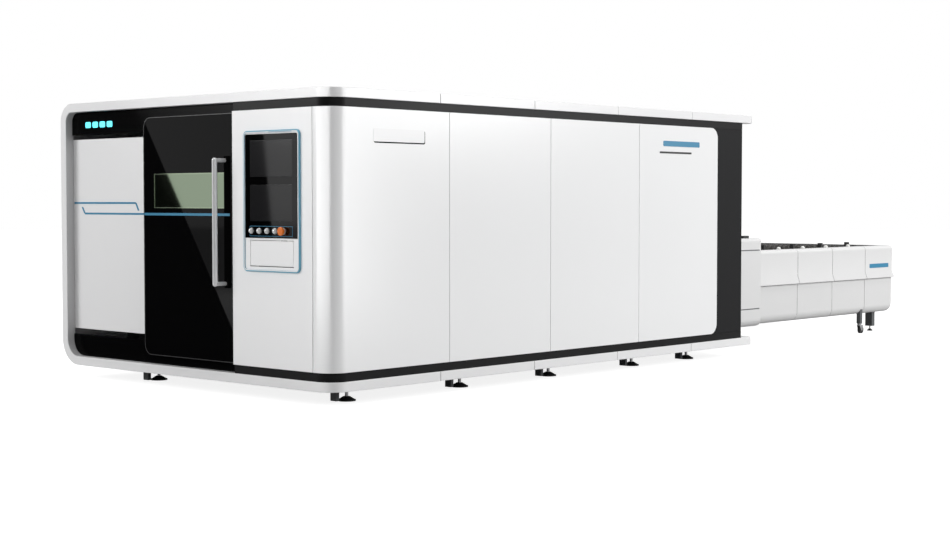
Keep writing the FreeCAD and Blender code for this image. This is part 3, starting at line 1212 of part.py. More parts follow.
def table_frame():
    """The table's ladder frames, cross members, cover brackets and leg columns."""
    inner, outer = TRACK_PLATE_OUTER - CHORD_WIDTH + TUBE_WALL, TRACK_PLATE_OUTER + TUBE_WALL
    chord_start = BED_END + SEAT
    bars = []
    lower_z = (LOWER_CHORD_BOTTOM, LOWER_CHORD_BOTTOM + CHORD_HEIGHT)
    ladder_start = TABLE_POSTS[0] - POST_LENGTH / 2
    for side in SIDES.values():
        x = on_side(side, inner, outer)
        for drop in LEVELS.values():
            top = CHORD_TOP + drop
            bars.append(tube(x, (chord_start, TABLE_TRACK_END), (top - CHORD_HEIGHT, top), "Y", TUBE_WALL))
        bars.append(tube(x, (ladder_start, TABLE_TRACK_END), lower_z, "Y", TUBE_WALL))
        for y in TABLE_POSTS:
            cover = TABLE_HALF_WIDTH if y > COVER_SEAMS[0] else TABLE_HALF_WIDTH + SHROUD_PROUD
            lower_cover = cover - TABLE_LOWER_INSET if y > COVER_SEAMS[0] else cover
            bars.append(tube(on_side(side, outer, outer + POST_LENGTH), around(y, POST_LENGTH),
                             (lower_z[0], CHORD_TOP), "Z", TUBE_WALL))
            top_z = (CHORD_TOP - OUTRIGGER_HEIGHT, CHORD_TOP)
            bars.append(block(on_side(side, outer - TUBE_WALL, cover - COVER_SHEET - SEAT),
                              around(y, POST_LENGTH), top_z))
            foot_z = (lower_z[1] - OUTRIGGER_HEIGHT, lower_z[1])
            bars.append(block(on_side(side, outer - TUBE_WALL, lower_cover - COVER_SHEET - SEAT),
                              around(y, POST_LENGTH), foot_z))
        column_x = around(side * CASTER_X, CASTER_COLUMN)
        bars.append(block(column_x, around(CASTER_Y, CASTER_COLUMN), (CASTER_HEIGHT, foot_z[1])))
        bars.append(block(around(side * TABLE_FOOT_X, TABLE_FOOT_COLUMN[0]),
                          around(TABLE_FOOT_Y, TABLE_FOOT_COLUMN[1]), (TABLE_FOOT_COLUMN_BOTTOM, foot_z[1])))
    for y in TABLE_POSTS:
        reach = inner + TUBE_WALL
        bars.append(tube((-reach, reach), around(y, POST_LENGTH), lower_z, "X", TUBE_WALL))
    end_y = (TABLE_TRACK_END - POST_LENGTH, TABLE_TRACK_END)
    for z in (lower_z, (CHORD_TOP - CHORD_HEIGHT, CHORD_TOP)):
        bars.append(tube((-inner - TUBE_WALL, inner + TUBE_WALL), end_y, z, "X", TUBE_WALL))
        cover = TABLE_END if z != lower_z else TABLE_END - TABLE_LOWER_INSET
        for side in SIDES.values():
            bars.append(block(around(side * TABLE_HALF_WIDTH / 2, POST_LENGTH),
                              (TABLE_TRACK_END - TUBE_WALL, cover - COVER_SHEET - SEAT),
                              (z[1] - OUTRIGGER_HEIGHT, z[1])))
    return fuse(bars)


def pallet_guides():
    """White domed pads beside the upper track that lead a sheet's edge over the covers."""
    guides = []
    for side in SIDES.values():
        for i in range(GUIDE_COUNT):
            x, y = side * GUIDE_X, GUIDE_FIRST + GUIDE_PITCH * i
            top = GUIDE_TOP - GUIDE_DIAMETER / 2
            post = rod(GUIDE_DIAMETER, (x, y, TRACK_TOP), (x, y, top))
            guides.append(post.fuse(Part.makeSphere(GUIDE_DIAMETER / 2, Vector(x, y, top))).removeSplitter())
    return guides


def shuttle_drive():
    """The shuttle's cross shaft, its sprockets and the gear motor."""
    reach = TRACK_PLATE_OUTER - CHORD_WIDTH + TUBE_WALL - SEAT
    z = CHORD_TOP - PALLET_LEVEL_PITCH - CHORD_HEIGHT / 2
    shaft = rod(DRIVE_SHAFT, (-reach, DRIVE_Y, z), (reach, DRIVE_Y, z))
    shapes = [shaft]
    for side in SIDES.values():
        x = side * (TRACK_PLATE_INNER + WHEEL_WIDTH / 2)
        shapes.append(rod(DRIVE_SPROCKET, (x - TRACK_PLATE, DRIVE_Y, z), (x + TRACK_PLATE, DRIVE_Y, z)))
    motor_top = z + DRIVE_MOTOR_ABOVE_SHAFT
    shapes.append(block(around(0, DRIVE_MOTOR[0]), around(DRIVE_Y, DRIVE_MOTOR[1]),
                        (motor_top - DRIVE_MOTOR[2], motor_top)))
    return fuse(shapes)


def caster_fork(side):
    """The swivelling fork of a table caster, with its axle."""
    x, y = side * CASTER_X, CASTER_Y
    wheel_z = CASTER_WHEEL / 2
    top = CASTER_HEIGHT - SEAT
    inner = CASTER_WHEEL_WIDTH / 2 + 4 * SEAT
    outer = inner + CASTER_FORK_SHEET
    wheel_y = y + CASTER_TRAIL
    crown = wheel_z + CASTER_WHEEL / 2 + CASTER_CROWN_GAP
    shapes = [rod(CASTER_COLUMN, (x, y, crown + CASTER_FORK_SHEET), (x, y, top)),
              block(around(x, 2 * outer), (y - CASTER_COLUMN / 2, wheel_y + CASTER_COLUMN / 2),
                    (crown, crown + CASTER_FORK_SHEET))]
    for cheek in (-1, 1):
        cheek_x = sorted((x + cheek * inner, x + cheek * outer))
        face = outline([(wheel_y - CASTER_COLUMN / 4, wheel_z - CASTER_AXLE, 6),
                        (wheel_y + CASTER_COLUMN / 4, wheel_z - CASTER_AXLE, 6),
                        (wheel_y + CASTER_COLUMN / 2, crown + OVERCUT),
                        (y - CASTER_COLUMN / 2, crown + OVERCUT)], "YZ")
        shapes.append(extrude(face, "X", *cheek_x))
    shapes.append(rod(CASTER_AXLE, (x - outer, wheel_y, wheel_z), (x + outer, wheel_y, wheel_z)))
    return fuse(shapes)


def caster_wheel(side):
    x, y, z = side * CASTER_X, CASTER_Y + CASTER_TRAIL, CASTER_WHEEL / 2
    half = CASTER_WHEEL_WIDTH / 2
    ends = ((x - half, y, z), (x + half, y, z))
    return rod(CASTER_WHEEL, *ends).cut(rod(CASTER_AXLE + 2 * AXLE_CLEARANCE, *ends))


def shroud_sensors():
    """Small light-curtain heads on top of the shrouds."""
    sensors = []
    for side in SIDES.values():
        x = side * (TABLE_HALF_WIDTH + SHROUD_PROUD - TABLE_DECK / 2 - TABLE_TOP_RADIUS / 2)
        z = (SHROUD_TOP + SEAT, SHROUD_TOP + SEAT + SENSOR_SIZE[2])
        sensors.append(block(around(x, SENSOR_SIZE[0]), around(SENSOR_Y, SENSOR_SIZE[1]), z))
    return sensors


# ---- build -------------------------------------------------------------------------------
os.makedirs("parts", exist_ok=True)

save("bed_frame", bed_frame())
save("foot_pads", foot_pads())
save("foot_studs", foot_studs())
save("gantry_rails", gantry_rails() + gear_racks())
save("pallet_tracks", pallet_tracks())
save("front_ribbon", front_ribbon())
save("roof_rails", ribbon_segments(True))
save("base_rails", ribbon_segments(False))
save("stripe_channels", stripe_channels())
save("cladding_frame", cladding_posts() + roof_beams())
save("corner_panel", corner_panel())
save("side_panels_right", side_panels(1))
save("side_panels_left", side_panels(-1))
save("end_panels", end_panels())
save("rear_panel", rear_panel())
save("roof_panels", roof_panels())
save("recess_liner", recess_liner())
save("recess_panel", recess_panel())
save("lintel", lintel())
save("kick_panel", kick_panel())
save("door_track", door_track())
save("door_panel", door_panel())
save("door_window", door_window())
save("door_handle", door_handle())
save("door_hangers", door_hangers())
save("control_panel", control_panel())
save("console_bezel", console_bezel())
save("console_housing", console_housing())
save("console_glass", console_glass())
save("console_screens", console_screens())
save("button_collars", button_collars())
for number, place_x in enumerate(button_places(), start=1):
    save(f"push_button_{number}", push_button(place_x))
save("emergency_stop", emergency_stop())
save("keyboard_flap", keyboard_flap())
save("keyboard", keyboard())
save("gantry_beam", gantry_beam())
save("gantry_carriage", gantry_carriage())
save("cutting_head", cutting_head())
save("cabinets", cabinets())
for level_name in LEVELS:
    save(f"{level_name}_pallet", pallet_frame(level_name))
    save(f"{level_name}_slats", pallet_slats(level_name))
    save(f"{level_name}_wheels_front", pallet_wheels(level_name, True))
    save(f"{level_name}_wheels_rear", pallet_wheels(level_name, False))
save("table_frame", table_frame())
save("table_upper_covers", cover_set(upper_cover_section))
save("table_lower_covers", cover_set(lower_cover_section))
save("table_shroud", table_shroud() + shroud_sensors())
save("pallet_guides", pallet_guides())
save("shuttle_drive", shuttle_drive())
for side_name, side_sign in SIDES.items():
    save(f"caster_fork_{side_name}", caster_fork(side_sign))
    save(f"caster_wheel_{side_name}", caster_wheel(side_sign))
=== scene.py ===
# %% [markdown]
# A fiber laser cutting machine, finished in Blender
#
# The machine's shape, joints and sizes come from its CAD model. This lesson gives every piece its
# finish, softens the edges that catch the light, adds the small pieces that CAD leaves out, and
# lights it all like a product in a white studio. The first step loads the CAD model.

# %% Load the CAD model
import json
import math

import bmesh
import bpy
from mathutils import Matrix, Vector

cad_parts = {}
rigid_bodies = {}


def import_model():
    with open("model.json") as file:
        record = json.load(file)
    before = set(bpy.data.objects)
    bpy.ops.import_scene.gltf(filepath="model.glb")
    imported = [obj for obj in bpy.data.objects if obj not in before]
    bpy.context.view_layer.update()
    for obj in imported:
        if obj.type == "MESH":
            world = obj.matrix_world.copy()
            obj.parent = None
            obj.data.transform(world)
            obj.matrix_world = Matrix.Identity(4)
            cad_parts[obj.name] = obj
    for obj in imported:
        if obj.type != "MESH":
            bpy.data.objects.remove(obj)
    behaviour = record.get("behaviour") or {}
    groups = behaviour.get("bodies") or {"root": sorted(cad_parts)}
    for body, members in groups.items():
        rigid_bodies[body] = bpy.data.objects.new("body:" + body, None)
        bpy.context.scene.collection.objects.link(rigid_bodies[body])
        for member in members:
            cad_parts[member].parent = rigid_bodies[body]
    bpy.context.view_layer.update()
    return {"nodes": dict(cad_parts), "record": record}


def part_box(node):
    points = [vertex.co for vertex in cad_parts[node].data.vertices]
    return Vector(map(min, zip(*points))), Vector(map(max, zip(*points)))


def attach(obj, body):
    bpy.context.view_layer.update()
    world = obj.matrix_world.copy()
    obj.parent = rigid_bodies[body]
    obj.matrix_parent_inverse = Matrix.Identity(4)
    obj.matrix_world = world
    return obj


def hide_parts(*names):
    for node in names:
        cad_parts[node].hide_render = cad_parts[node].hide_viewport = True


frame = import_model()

nodes = frame["nodes"]
body_of_node = {n: b for b, names in frame["record"]["behaviour"]["bodies"].items() for n in names}
slot_of_node = {s["node"]: s["material_slot"] for s in frame["record"]["subparts"]}

# %% [markdown]
# Shader maths reads best as plain expressions. The small class below wraps one output socket of a
# shader node and overloads the arithmetic operators, so `1 - mask * 0.5` adds the Math nodes by
# itself. The reflected forms (`__radd__` and its kin) let a plain number stand on the left.

# %% A socket that can be calculated with
class Value:
    def __init__(self, owner, socket):
        self.owner = owner
        self.socket = socket

    def math(self, operation, *others):
        return self.owner.node("ShaderNodeMath", {"operation": operation}, [self, *others])

    def __add__(self, other):
        return self.math("ADD", other)

    def __sub__(self, other):
        return self.math("SUBTRACT", other)

    def __mul__(self, other):
        return self.math("MULTIPLY", other)

    def __rsub__(self, other):
        return self.owner.node("ShaderNodeMath", {"operation": "SUBTRACT"}, [other, self])

    __radd__ = __add__
    __rmul__ = __mul__

    def fade(self, start, end):
        """0 up to start, 1 from end on, and a smooth slope in between."""
        settings = {"interpolation_type": "SMOOTHSTEP"}
        return self.owner.node("ShaderNodeMapRange", settings, {0: self, 1: start, 2: end})


# %% [markdown]
# One finish is one material. Its helper makes any node from a type, its settings and the values
# or links of its sockets, and knows the few patterns that nearly every finish here needs: the
# place on the piece in metres, soft noise, and a colour mix.

# %% A finish and its one way of making nodes
class NodeMaker:
    """Makes any node of self.tree from its type, its settings and its sockets' values or links."""

    def node(self, kind, settings=None, values=None, output=0):
        node = self.tree.nodes.new(kind)
        for key, value in (settings or {}).items():
            setattr(node, key, value)
        pairs = values.items() if isinstance(values, dict) else enumerate(values or [])
        for key, value in pairs:
            for one in value if isinstance(value, list) else [value]:
                if isinstance(one, Value):
                    self.tree.links.new(one.socket, node.inputs[key])
                else:
                    node.inputs[key].default_value = one
        return Value(self, node.outputs[output])


class Finish(NodeMaker):
    def __init__(self, name, colour, roughness, **principled):
        self.material = bpy.data.materials.new(name)
        self.material.use_nodes = True
        self.tree = self.material.node_tree
        self.shader = self.tree.nodes["Principled BSDF"]
        self.material.diffuse_color = (*colour, 1)
        self.shader.inputs["Base Color"].default_value = (*colour, 1)
        self.shader.inputs["Roughness"].default_value = roughness
        for key, value in principled.items():
            self.shader.inputs[key.replace("_", " ")].default_value = value

    def place(self):
        """The point on the piece, in metres, in the machine's own frame."""
        return self.node("ShaderNodeTexCoord", output="Object")

    def noise(self, scale, detail=3.0, roughness=0.5, stretch=(1, 1, 1)):
        spot = self.node("ShaderNodeMapping", None, {"Vector": self.place(), "Scale": stretch})
        values = {"Vector": spot, "Scale": scale, "Detail": detail, "Roughness": roughness}
        return self.node("ShaderNodeTexNoise", None, values)

    def mix(self, factor, low, high):
        """A colour between low and high."""
        values = {0: factor, 6: low if isinstance(low, Value) else (*low, 1),
                  7: high if isinstance(high, Value) else (*high, 1)}
        return self.node("ShaderNodeMix", {"data_type": "RGBA"}, values, output=2)

    def feed(self, **sockets):
        for key, value in sockets.items():
            self.tree.links.new(value.socket, self.shader.inputs[key.replace("_", " ")])

    def bump(self, height, strength, distance):
        values = {"Strength": strength, "Distance": distance, "Height": height}
        self.feed(Normal=self.node("ShaderNodeBump", None, values))


finishes = {}


# %% [markdown]
# Powder coat is baked-on paint: matt to satin, with a fine orange-peel grain that softens its
# reflections. It could be an image, but noise on the piece's own coordinates has no edge and needs
# no picture. The grain feeds a Bump node, and a slow wide noise shifts the roughness a little so
# that big flat sheets don't look like plastic.

# %% Powder coats: white cladding, table covers, greys and blacks
def powder_coat(name, colour, roughness, grain=0.12, tint=0.02, level=0.45):
    finish = Finish(name, colour, roughness, Specular_IOR_Level=level)
    fine = finish.noise(620, 2.0)
    wide = finish.noise(1.4, 3.0)
    darker = tuple(c * (1 - tint) for c in colour)
    finish.feed(Base_Color=finish.mix(wide, colour, darker))
    finish.feed(Roughness=roughness - 0.04 + wide * 0.08)
    finish.bump(fine, grain, 0.0004)
    finishes[name] = finish
    return finish


powder_coat("cladding_white", (0.865, 0.868, 0.872), 0.22, grain=0.08)
powder_coat("control_white", (0.86, 0.86, 0.865), 0.32)
# The recess panel's darker white is painted shade for the recess it stands in.
powder_coat("recess_white_painted_shade", (0.79, 0.79, 0.795), 0.4)
powder_coat("rail_white", (0.83, 0.83, 0.835), 0.24, grain=0.05)
# The table covers' darker white is painted shade: the covers carry the same white paint as the cladding.
powder_coat("table_white", (0.675, 0.675, 0.675), 0.42)
# The grey liner inside the door recess is painted shade: the recess's inner wall is white, and this grey
# stands for its shade.
powder_coat("liner_grey", (0.50, 0.50, 0.505), 0.5)
powder_coat("stripe_black", (0.009, 0.009, 0.0095), 0.38, level=0.12)
powder_coat("end_black", (0.018, 0.018, 0.019), 0.5, level=0.06)
powder_coat("recess_black", (0.0016, 0.0016, 0.0018), 0.2, level=0.05)
powder_coat("frame_grey", (0.10, 0.105, 0.11), 0.45)
powder_coat("cabinet_grey", (0.42, 0.43, 0.44), 0.45)
powder_coat("foot_black", (0.018, 0.018, 0.019), 0.5, grain=0.2)
powder_coat("drive_blue", (0.03, 0.12, 0.22), 0.4)
print(len(finishes), "powder coats")

# %% [markdown]
# The door is stove-enamelled gloss black, the console front is black glass, and the door's pane is
# coated laser-safe glass that mirrors its surroundings in pale green. Gloss comes from a low
# roughness, and what is seen in it comes from the studio; only the lighter line round the door's
# edge and the black strip by the handle are painted on, as a painted highlight and painted shade.

# %% Gloss blacks and glass
def gloss(name, colour, roughness, level, coat=0.0):
    finish = Finish(name, colour, roughness, Specular_IOR_Level=level, Coat_Weight=coat, Coat_Roughness=0.04)
    waviness = finish.noise(3.0, 1.0)
    finish.bump(waviness, 0.02, 0.002)
    finishes[name] = finish
    return finish


gloss("door_black", (0.0022, 0.0022, 0.0024), 0.04, 0.20)
gloss("console_black", (0.0012, 0.0012, 0.0014), 0.05, 0.75)
gloss("screen", (0.012, 0.012, 0.013), 0.09, 0.9)
# A dark grey gloss: a painted highlight in the ring round the door, and a printed line on the side.
gloss("rim_black", (0.042, 0.042, 0.043), 0.3, 0.3)
pane = Finish("window_glass", (0.49, 0.60, 0.44), 0.07, Metallic=1.0)
pane.bump(pane.noise(2.2, 1.0), 0.02, 0.002)
finishes["window_glass"] = pane
finishes["pane_rim"] = Finish("pane_rim", (0.62, 0.74, 0.54), 0.12, Metallic=0.85)
gloss("stop_orange", (0.82, 0.19, 0.018), 0.22, 0.5, coat=0.3)
print("gloss finishes ready")

# %% [markdown]
# Bare metals are fully metallic. The handle and the buttons are satin-chromed over a pale primer, so
# they keep some of a paint's scattered light. Machined and ground faces show fine parallel
# scratches, made by stretching noise along one axis. The slats are laser-cut mild steel that has
# darkened, with brown spatter left by the cutting beam.

# %% Metals
def metal(name, colour, roughness, stretch=(1, 1, 1), scale=400.0, spread=0.12, bump=0.05, metallic=1.0):
    finish = Finish(name, colour, roughness, Metallic=metallic)
    lines = finish.noise(scale, 2.0, 0.6, stretch)
    finish.feed(Roughness=roughness - spread / 2 + lines * spread)
    finish.bump(lines, bump, 0.0003)
    finishes[name] = finish
    return finish


metal("steel", (0.56, 0.56, 0.57), 0.32, (1, 0.04, 1))
metal("handle_chrome", (0.86, 0.86, 0.87), 0.22, spread=0.04, bump=0.0, metallic=0.35)
metal("button_silver", (0.84, 0.84, 0.84), 0.18, spread=0.05, bump=0.0, metallic=0.45)
metal("head_aluminium", (0.74, 0.74, 0.76), 0.34, (1, 1, 0.1))
metal("trim_blue", (0.075, 0.27, 0.40), 0.30, spread=0.04, bump=0.0)
slat_steel = metal("slat_steel", (0.17, 0.165, 0.16), 0.5, (0.3, 1, 1), 60.0, 0.2)
spatter = slat_steel.noise(220, 4.0, 0.7).fade(0.52, 0.68)
slat_steel.feed(Base_Color=slat_steel.mix(spatter, (0.19, 0.185, 0.18), (0.08, 0.06, 0.045)))
print("metals ready")


# %% [markdown]
# Keys, tyres, pads and lamps are moulded in one flat colour, and so are the blue accents: strips of
# film on the sheets. Nothing in them varies over the surface, so constants are enough.

# %% Plastics, rubber, film and lamps
def plain(name, colour, roughness, **extra):
    finishes[name] = Finish(name, colour, roughness, **extra)
    return finishes[name]


plain("accent_blue", (0.028, 0.225, 0.385), 0.35)
plain("bezel_blue", (0.13, 0.38, 0.52), 0.32)
plain("keyboard_black", (0.02, 0.02, 0.021), 0.5)
plain("key_grey", (0.05, 0.05, 0.052), 0.45)
plain("guide_nylon", (0.82, 0.82, 0.80), 0.45)
plain("caster_rubber", (0.025, 0.025, 0.026), 0.6)
# This near-black with no reflection is painted shade: it marks the screw sockets, the louvre slots, the
# shadow under the side plate and the handle's shadow on the door.
plain("painted_shade_black", (0.002, 0.002, 0.002), 0.7, Specular_IOR_Level=0.0)
lamp = plain("lamp_cyan", (0.10, 0.75, 0.85), 0.3, Emission_Strength=1.1)
lamp.shader.inputs["Emission Color"].default_value = (0.11, 0.80, 0.95, 1)
print(len(finishes), "finishes in all")

# %% [markdown]
# Each CAD piece gets the finish of its record slot, unless it has a closer one here. The CAD
# meshes themselves are never changed.

# %% Paint the CAD pieces
closer = {
    "front_ribbon": "rail_white", "roof_rails": "rail_white", "base_rails": "rail_white",
    "control_panel": "control_white", "console_housing": "control_white", "keyboard_flap": "control_white",
    "recess_panel": "recess_white_painted_shade", "end_panels": "end_black", "cabinets": "cabinet_grey",
    "console_bezel": "bezel_blue", "shuttle_drive": "drive_blue", "door_handle": "handle_chrome",
    "rear_panel": "cladding_white", "roof_panels": "cladding_white", "lintel": "recess_black",
    "kick_panel": "recess_black",
}
for name, piece in nodes.items():
    piece.data.materials.clear()
    piece.data.materials.append(finishes[closer.get(name, slot_of_node[name])].material)
print("painted", len(nodes), "pieces")


# %% [markdown]
# Folded sheet never has a knife edge: its bends have a radius that draws a thin highlight along
# every edge. A Bevel modifier on a merged copy of the CAD piece gives it. The copy stands in for
# the CAD piece in pictures only.

# %% Copies with softened edges
def finished_mesh(obj, finish_name, body, slot=None, stands_for=()):
    """Give a new piece its finish, attach it to the body it rides on and hide what it stands for."""
    obj.data.materials.clear()
    obj.data.materials.append(finishes[finish_name].material)
    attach(obj, body)
    if stands_for:
        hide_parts(*stands_for)
    return obj


def new_piece(name, mesh):
    obj = bpy.data.objects.new(name, mesh)
    bpy.context.scene.collection.objects.link(obj)
    return obj


def applied(obj):
    """Turn an object's modifiers into its mesh."""
    graph = bpy.context.evaluated_depsgraph_get()
    mesh = bpy.data.meshes.new_from_object(obj.evaluated_get(graph))
    obj.modifiers.clear()
    obj.data = mesh
    return obj


def softened(node, radius, segments=3):
    mesh = nodes[node].data.copy()
    work = bmesh.new()
    work.from_mesh(mesh)
    bmesh.ops.remove_doubles(work, verts=work.verts, dist=1e-5)
    work.to_mesh(mesh)
    work.free()
    mesh.attributes.remove(mesh.attributes["custom_normal"])
    obj = new_piece(f"{node}_soft", mesh)
    mesh.shade_smooth()
    bevel = obj.modifiers.new("edge", "BEVEL")
    bevel.width = radius
    bevel.segments = segments
    bevel.limit_method = "ANGLE"
    bevel.angle_limit = math.radians(38)
    bevel.harden_normals = True
    bevel.use_clamp_overlap = True
    applied(obj)
    finish = closer.get(node, slot_of_node[node])
    return finished_mesh(obj, finish, body_of_node[node], slot_of_node[node], [node])


SOFT_EDGES = {
    "front_ribbon": 0.004, "roof_rails": 0.004, "base_rails": 0.004, "corner_panel": 0.003,
    "side_panels_right": 0.003, "side_panels_left": 0.003, "end_panels": 0.003, "control_panel": 0.003,
    "recess_panel": 0.003, "lintel": 0.003, "kick_panel": 0.003, "door_panel": 0.005,
    "console_screens": 0.001, "keyboard_flap": 0.0012, "cabinets": 0.004,
    "table_upper_covers": 0.0012, "table_lower_covers": 0.0012, "table_shroud": 0.0012,
    "rear_panel": 0.002, "gantry_beam": 0.003,
}
for node, radius in SOFT_EDGES.items():
    soft = softened(node, radius)
    print(f"{node}: {len(soft.data.polygons)} faces")

# %% [markdown]
# Many small pieces repeat at an even pitch: screws round a panel, the teeth of a rack, louvres,
# keys. One Geometry Nodes tree serves them all. It takes a wire of straight edges, sets points on
# it at a named spacing, and puts one small shape on each, turned to the wire's `facing` attribute.
# Copies placed one by one would do the same job, but a new spacing would then mean new code.

# %% The tree that repeats a shape along wires
class Repeater(NodeMaker):
    def __init__(self, name, shapes):
        """shapes: a function that adds the repeated shape's nodes and returns its geometry."""
        self.tree = bpy.data.node_groups.new(name, "GeometryNodeTree")
        face = self.tree.interface
        self.inputs = {}
        for label, kind in (("Wire", "Geometry"), ("Spacing", "Float"), ("Size", "Vector")):
            socket = face.new_socket(name=label, in_out="INPUT", socket_type=f"NodeSocket{kind}")
            self.inputs[label] = socket.identifier
        face.new_socket(name="Geometry", in_out="OUTPUT", socket_type="NodeSocketGeometry")
        group = self.tree.nodes.new("NodeGroupInput")
        wire, spacing, size = (Value(self, socket) for socket in group.outputs[:3])
        path = self.node("GeometryNodeMeshToCurve", None, {"Mesh": wire})
        even = self.node("GeometryNodeResampleCurve", {"mode": "LENGTH"}, {"Curve": path, "Length": spacing})
        points = self.node("GeometryNodeCurveToPoints", {"mode": "EVALUATED"}, {"Curve": even})
        vector_kind = {"data_type": "FLOAT_VECTOR"}
        facing = self.node("GeometryNodeInputNamedAttribute", vector_kind, {"Name": "facing"})
        turn = self.node("FunctionNodeAlignRotationToVector", {"axis": "Z"}, {"Vector": facing})
        copies = {"Points": points, "Instance": shapes(self), "Rotation": turn, "Scale": size}
        placed = self.node("GeometryNodeInstanceOnPoints", None, copies)
        solid = self.node("GeometryNodeRealizeInstances", None, {"Geometry": placed})
        out = self.tree.nodes.new("NodeGroupOutput")
        self.tree.links.new(solid.socket, out.inputs[0])

    def painted(self, geometry, finish_name):
        values = {"Geometry": geometry, "Material": finishes[finish_name].material}
        return self.node("GeometryNodeSetMaterial", None, values)

    def make(self, name, wires, facing, spacing, size, body):
        """wires: a list of polylines in metres; returns a plain mesh object that rides on the body."""
        points = [Vector(point) for wire in wires for point in wire]
        edges = []
        start = 0
        for wire in wires:
            edges += [(start + i, start + i + 1) for i in range(len(wire) - 1)]
            start += len(wire)
        mesh = bpy.data.meshes.new(name)
        mesh.from_pydata(points, edges, [])
        toward = mesh.attributes.new("facing", "FLOAT_VECTOR", "POINT")
        toward.data.foreach_set("vector", list(facing) * len(points))
        obj = new_piece(name, mesh)
        modifier = obj.modifiers.new("repeat", "NODES")
        modifier.node_group = self.tree
        modifier[self.inputs["Spacing"]] = spacing
        modifier[self.inputs["Size"]] = size
        applied(obj)
        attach(obj, body)
        print(f"{name}: {len(obj.data.polygons)} faces")
        return obj


def screw_head(maker):
    """A socket screw one metre across, to be scaled: chamfered head with a black hexagon in it, painted shade
    for the hollow of its socket.
    """
    head = maker.node("GeometryNodeMeshCone", None, {"Vertices": 14, "Radius Top": 0.42, "Radius Bottom": 0.5,
                                                     "Depth": 0.5})
    hexagon = maker.node("GeometryNodeMeshCylinder", None, {"Vertices": 6, "Radius": 0.22, "Depth": 0.51})
    # The black hexagon is painted shade: it stands for the dark hollow of the socket.
    dark = maker.node("GeometryNodeTransform", None, {"Geometry": hexagon, "Translation": (0, 0, 0.255)})
    parts = [maker.painted(head, "steel"), maker.painted(dark, "painted_shade_black")]
    return maker.node("GeometryNodeJoinGeometry", None, {"Geometry": parts})


def tapered_block(finish_name):
    """A block of one metre, slightly narrower at the top: a key, the painted shade of a louvre slot or a
    tooth once scaled.
    """
    def shapes(maker):
        corner = math.sqrt(0.5)
        values = {"Vertices": 4, "Radius Top": corner * 0.86, "Radius Bottom": corner, "Depth": 1.0}
        block = maker.node("GeometryNodeMeshCone", None, values)
        square = maker.node("GeometryNodeTransform", None, {"Geometry": block,
                                                            "Rotation": (0, 0, math.radians(45))})
        return maker.painted(square, finish_name)
    return shapes


screws = Repeater("screws", screw_head)
steel_teeth = Repeater("teeth", tapered_block("steel"))
keys = Repeater("keys", tapered_block("key_grey"))
slot_shades = Repeater("louvres", tapered_block("painted_shade_black"))
dark_pegs = Repeater("pegs", tapered_block("foot_black"))
print("five repeaters ready")

# %% [markdown]
# Screws hold the roof sheets and the rear sheet. Each row runs a little inside the edge of the
# sheet it holds, so the wires come from the sheets' own boxes.

# %% Rows of screws
def loop_wires(low, high, fixed, axis):
    """Four wires round a rectangle whose third coordinate, on the axis, is fixed."""
    a, b = [i for i in range(3) if i != axis]
    corners = [(low[a], low[b]), (high[a], low[b]), (high[a], high[b]), (low[a], high[b])]
    wires = []
    for i, (start, end) in enumerate(zip(corners, corners[1:] + corners[:1])):
        wire = []
        for u, v in (start, end):
            point = [fixed] * 3
            point[a], point[b] = u, v
            wire.append(point)
        wires.append(wire)
    return wires


SCREW = (0.014, 0.014, 0.007)
SCREW_SPACING = 0.26
low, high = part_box("rear_panel")
inset = Vector((0.035, 0, 0.035))
rear_loop = loop_wires(low + inset, high - inset, high.y, 1)
screws.make("rear_screws", rear_loop, (0, 1, 0), SCREW_SPACING, SCREW, "machine")
low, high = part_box("roof_panels")
inset = Vector((0.03, 0.03, 0))
roof_loop = loop_wires(low + inset, high - inset, high.z, 2)
screws.make("roof_screws", roof_loop, (0, 0, 1), SCREW_SPACING, SCREW, "machine")

# %% [markdown]
# The gantry is driven by a pinion on each side that runs along a rack on the bed. A tooth has only
# six faces, because there are hundreds of them.

# %% Rack teeth beside the gantry rails
low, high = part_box("gantry_rails")
RACK_TOP = 0.936
RACK_MIDDLE = high.x - 0.007
RACK_TOOTH = (0.012, 0.005, 0.006)
rack_wires = []
for x in (-RACK_MIDDLE, RACK_MIDDLE):
    rack_wires.append([(x, low.y + 0.01, RACK_TOP), (x, high.y - 0.01, RACK_TOP)])
steel_teeth.make("rack_teeth", rack_wires, (0, 0, 1), 0.0105, RACK_TOOTH, "machine")

# %% [markdown]
# The keyboard has rows of low square keys and a wide space bar. They ride on the flap with it.

# %% Keys
low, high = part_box("keyboard")
KEY = 0.0175
KEY_PITCH = 0.0205
rows = int((high.z - low.z - 0.012) // KEY_PITCH)
key_wires = []
for row in range(1, rows):
    z = low.z + 0.014 + row * KEY_PITCH
    key_wires.append([(low.x + 0.016, high.y, z), (high.x - 0.016, high.y, z)])
keys.make("keyboard_keys", key_wires, (0, 1, 0), KEY_PITCH, (KEY, KEY, 0.006), "keyboard_flap")
z = low.z + 0.014
middle = (low.x + high.x) / 2
bar_wire = [[(middle - 0.01, high.y, z), (middle + 0.01, high.y, z)]]
keys.make("space_bar", bar_wire, (0, 1, 0), 0.05, (0.12, KEY, 0.006), "keyboard_flap")

# %% [markdown]
# The trim is cut from flat outlines: blue film on the door and the recess panel, a black strip
# behind the handle that is painted shade, a lighter line round the door that is a painted
# highlight, lamps and blank name plates. One helper turns an outline into a closed slab along an
# axis and rounds its long edges; another makes a flat ring.

# %% Slabs and rings
OTHER_AXES = {"X": (1, 2), "Y": (0, 2), "Z": (0, 1)}


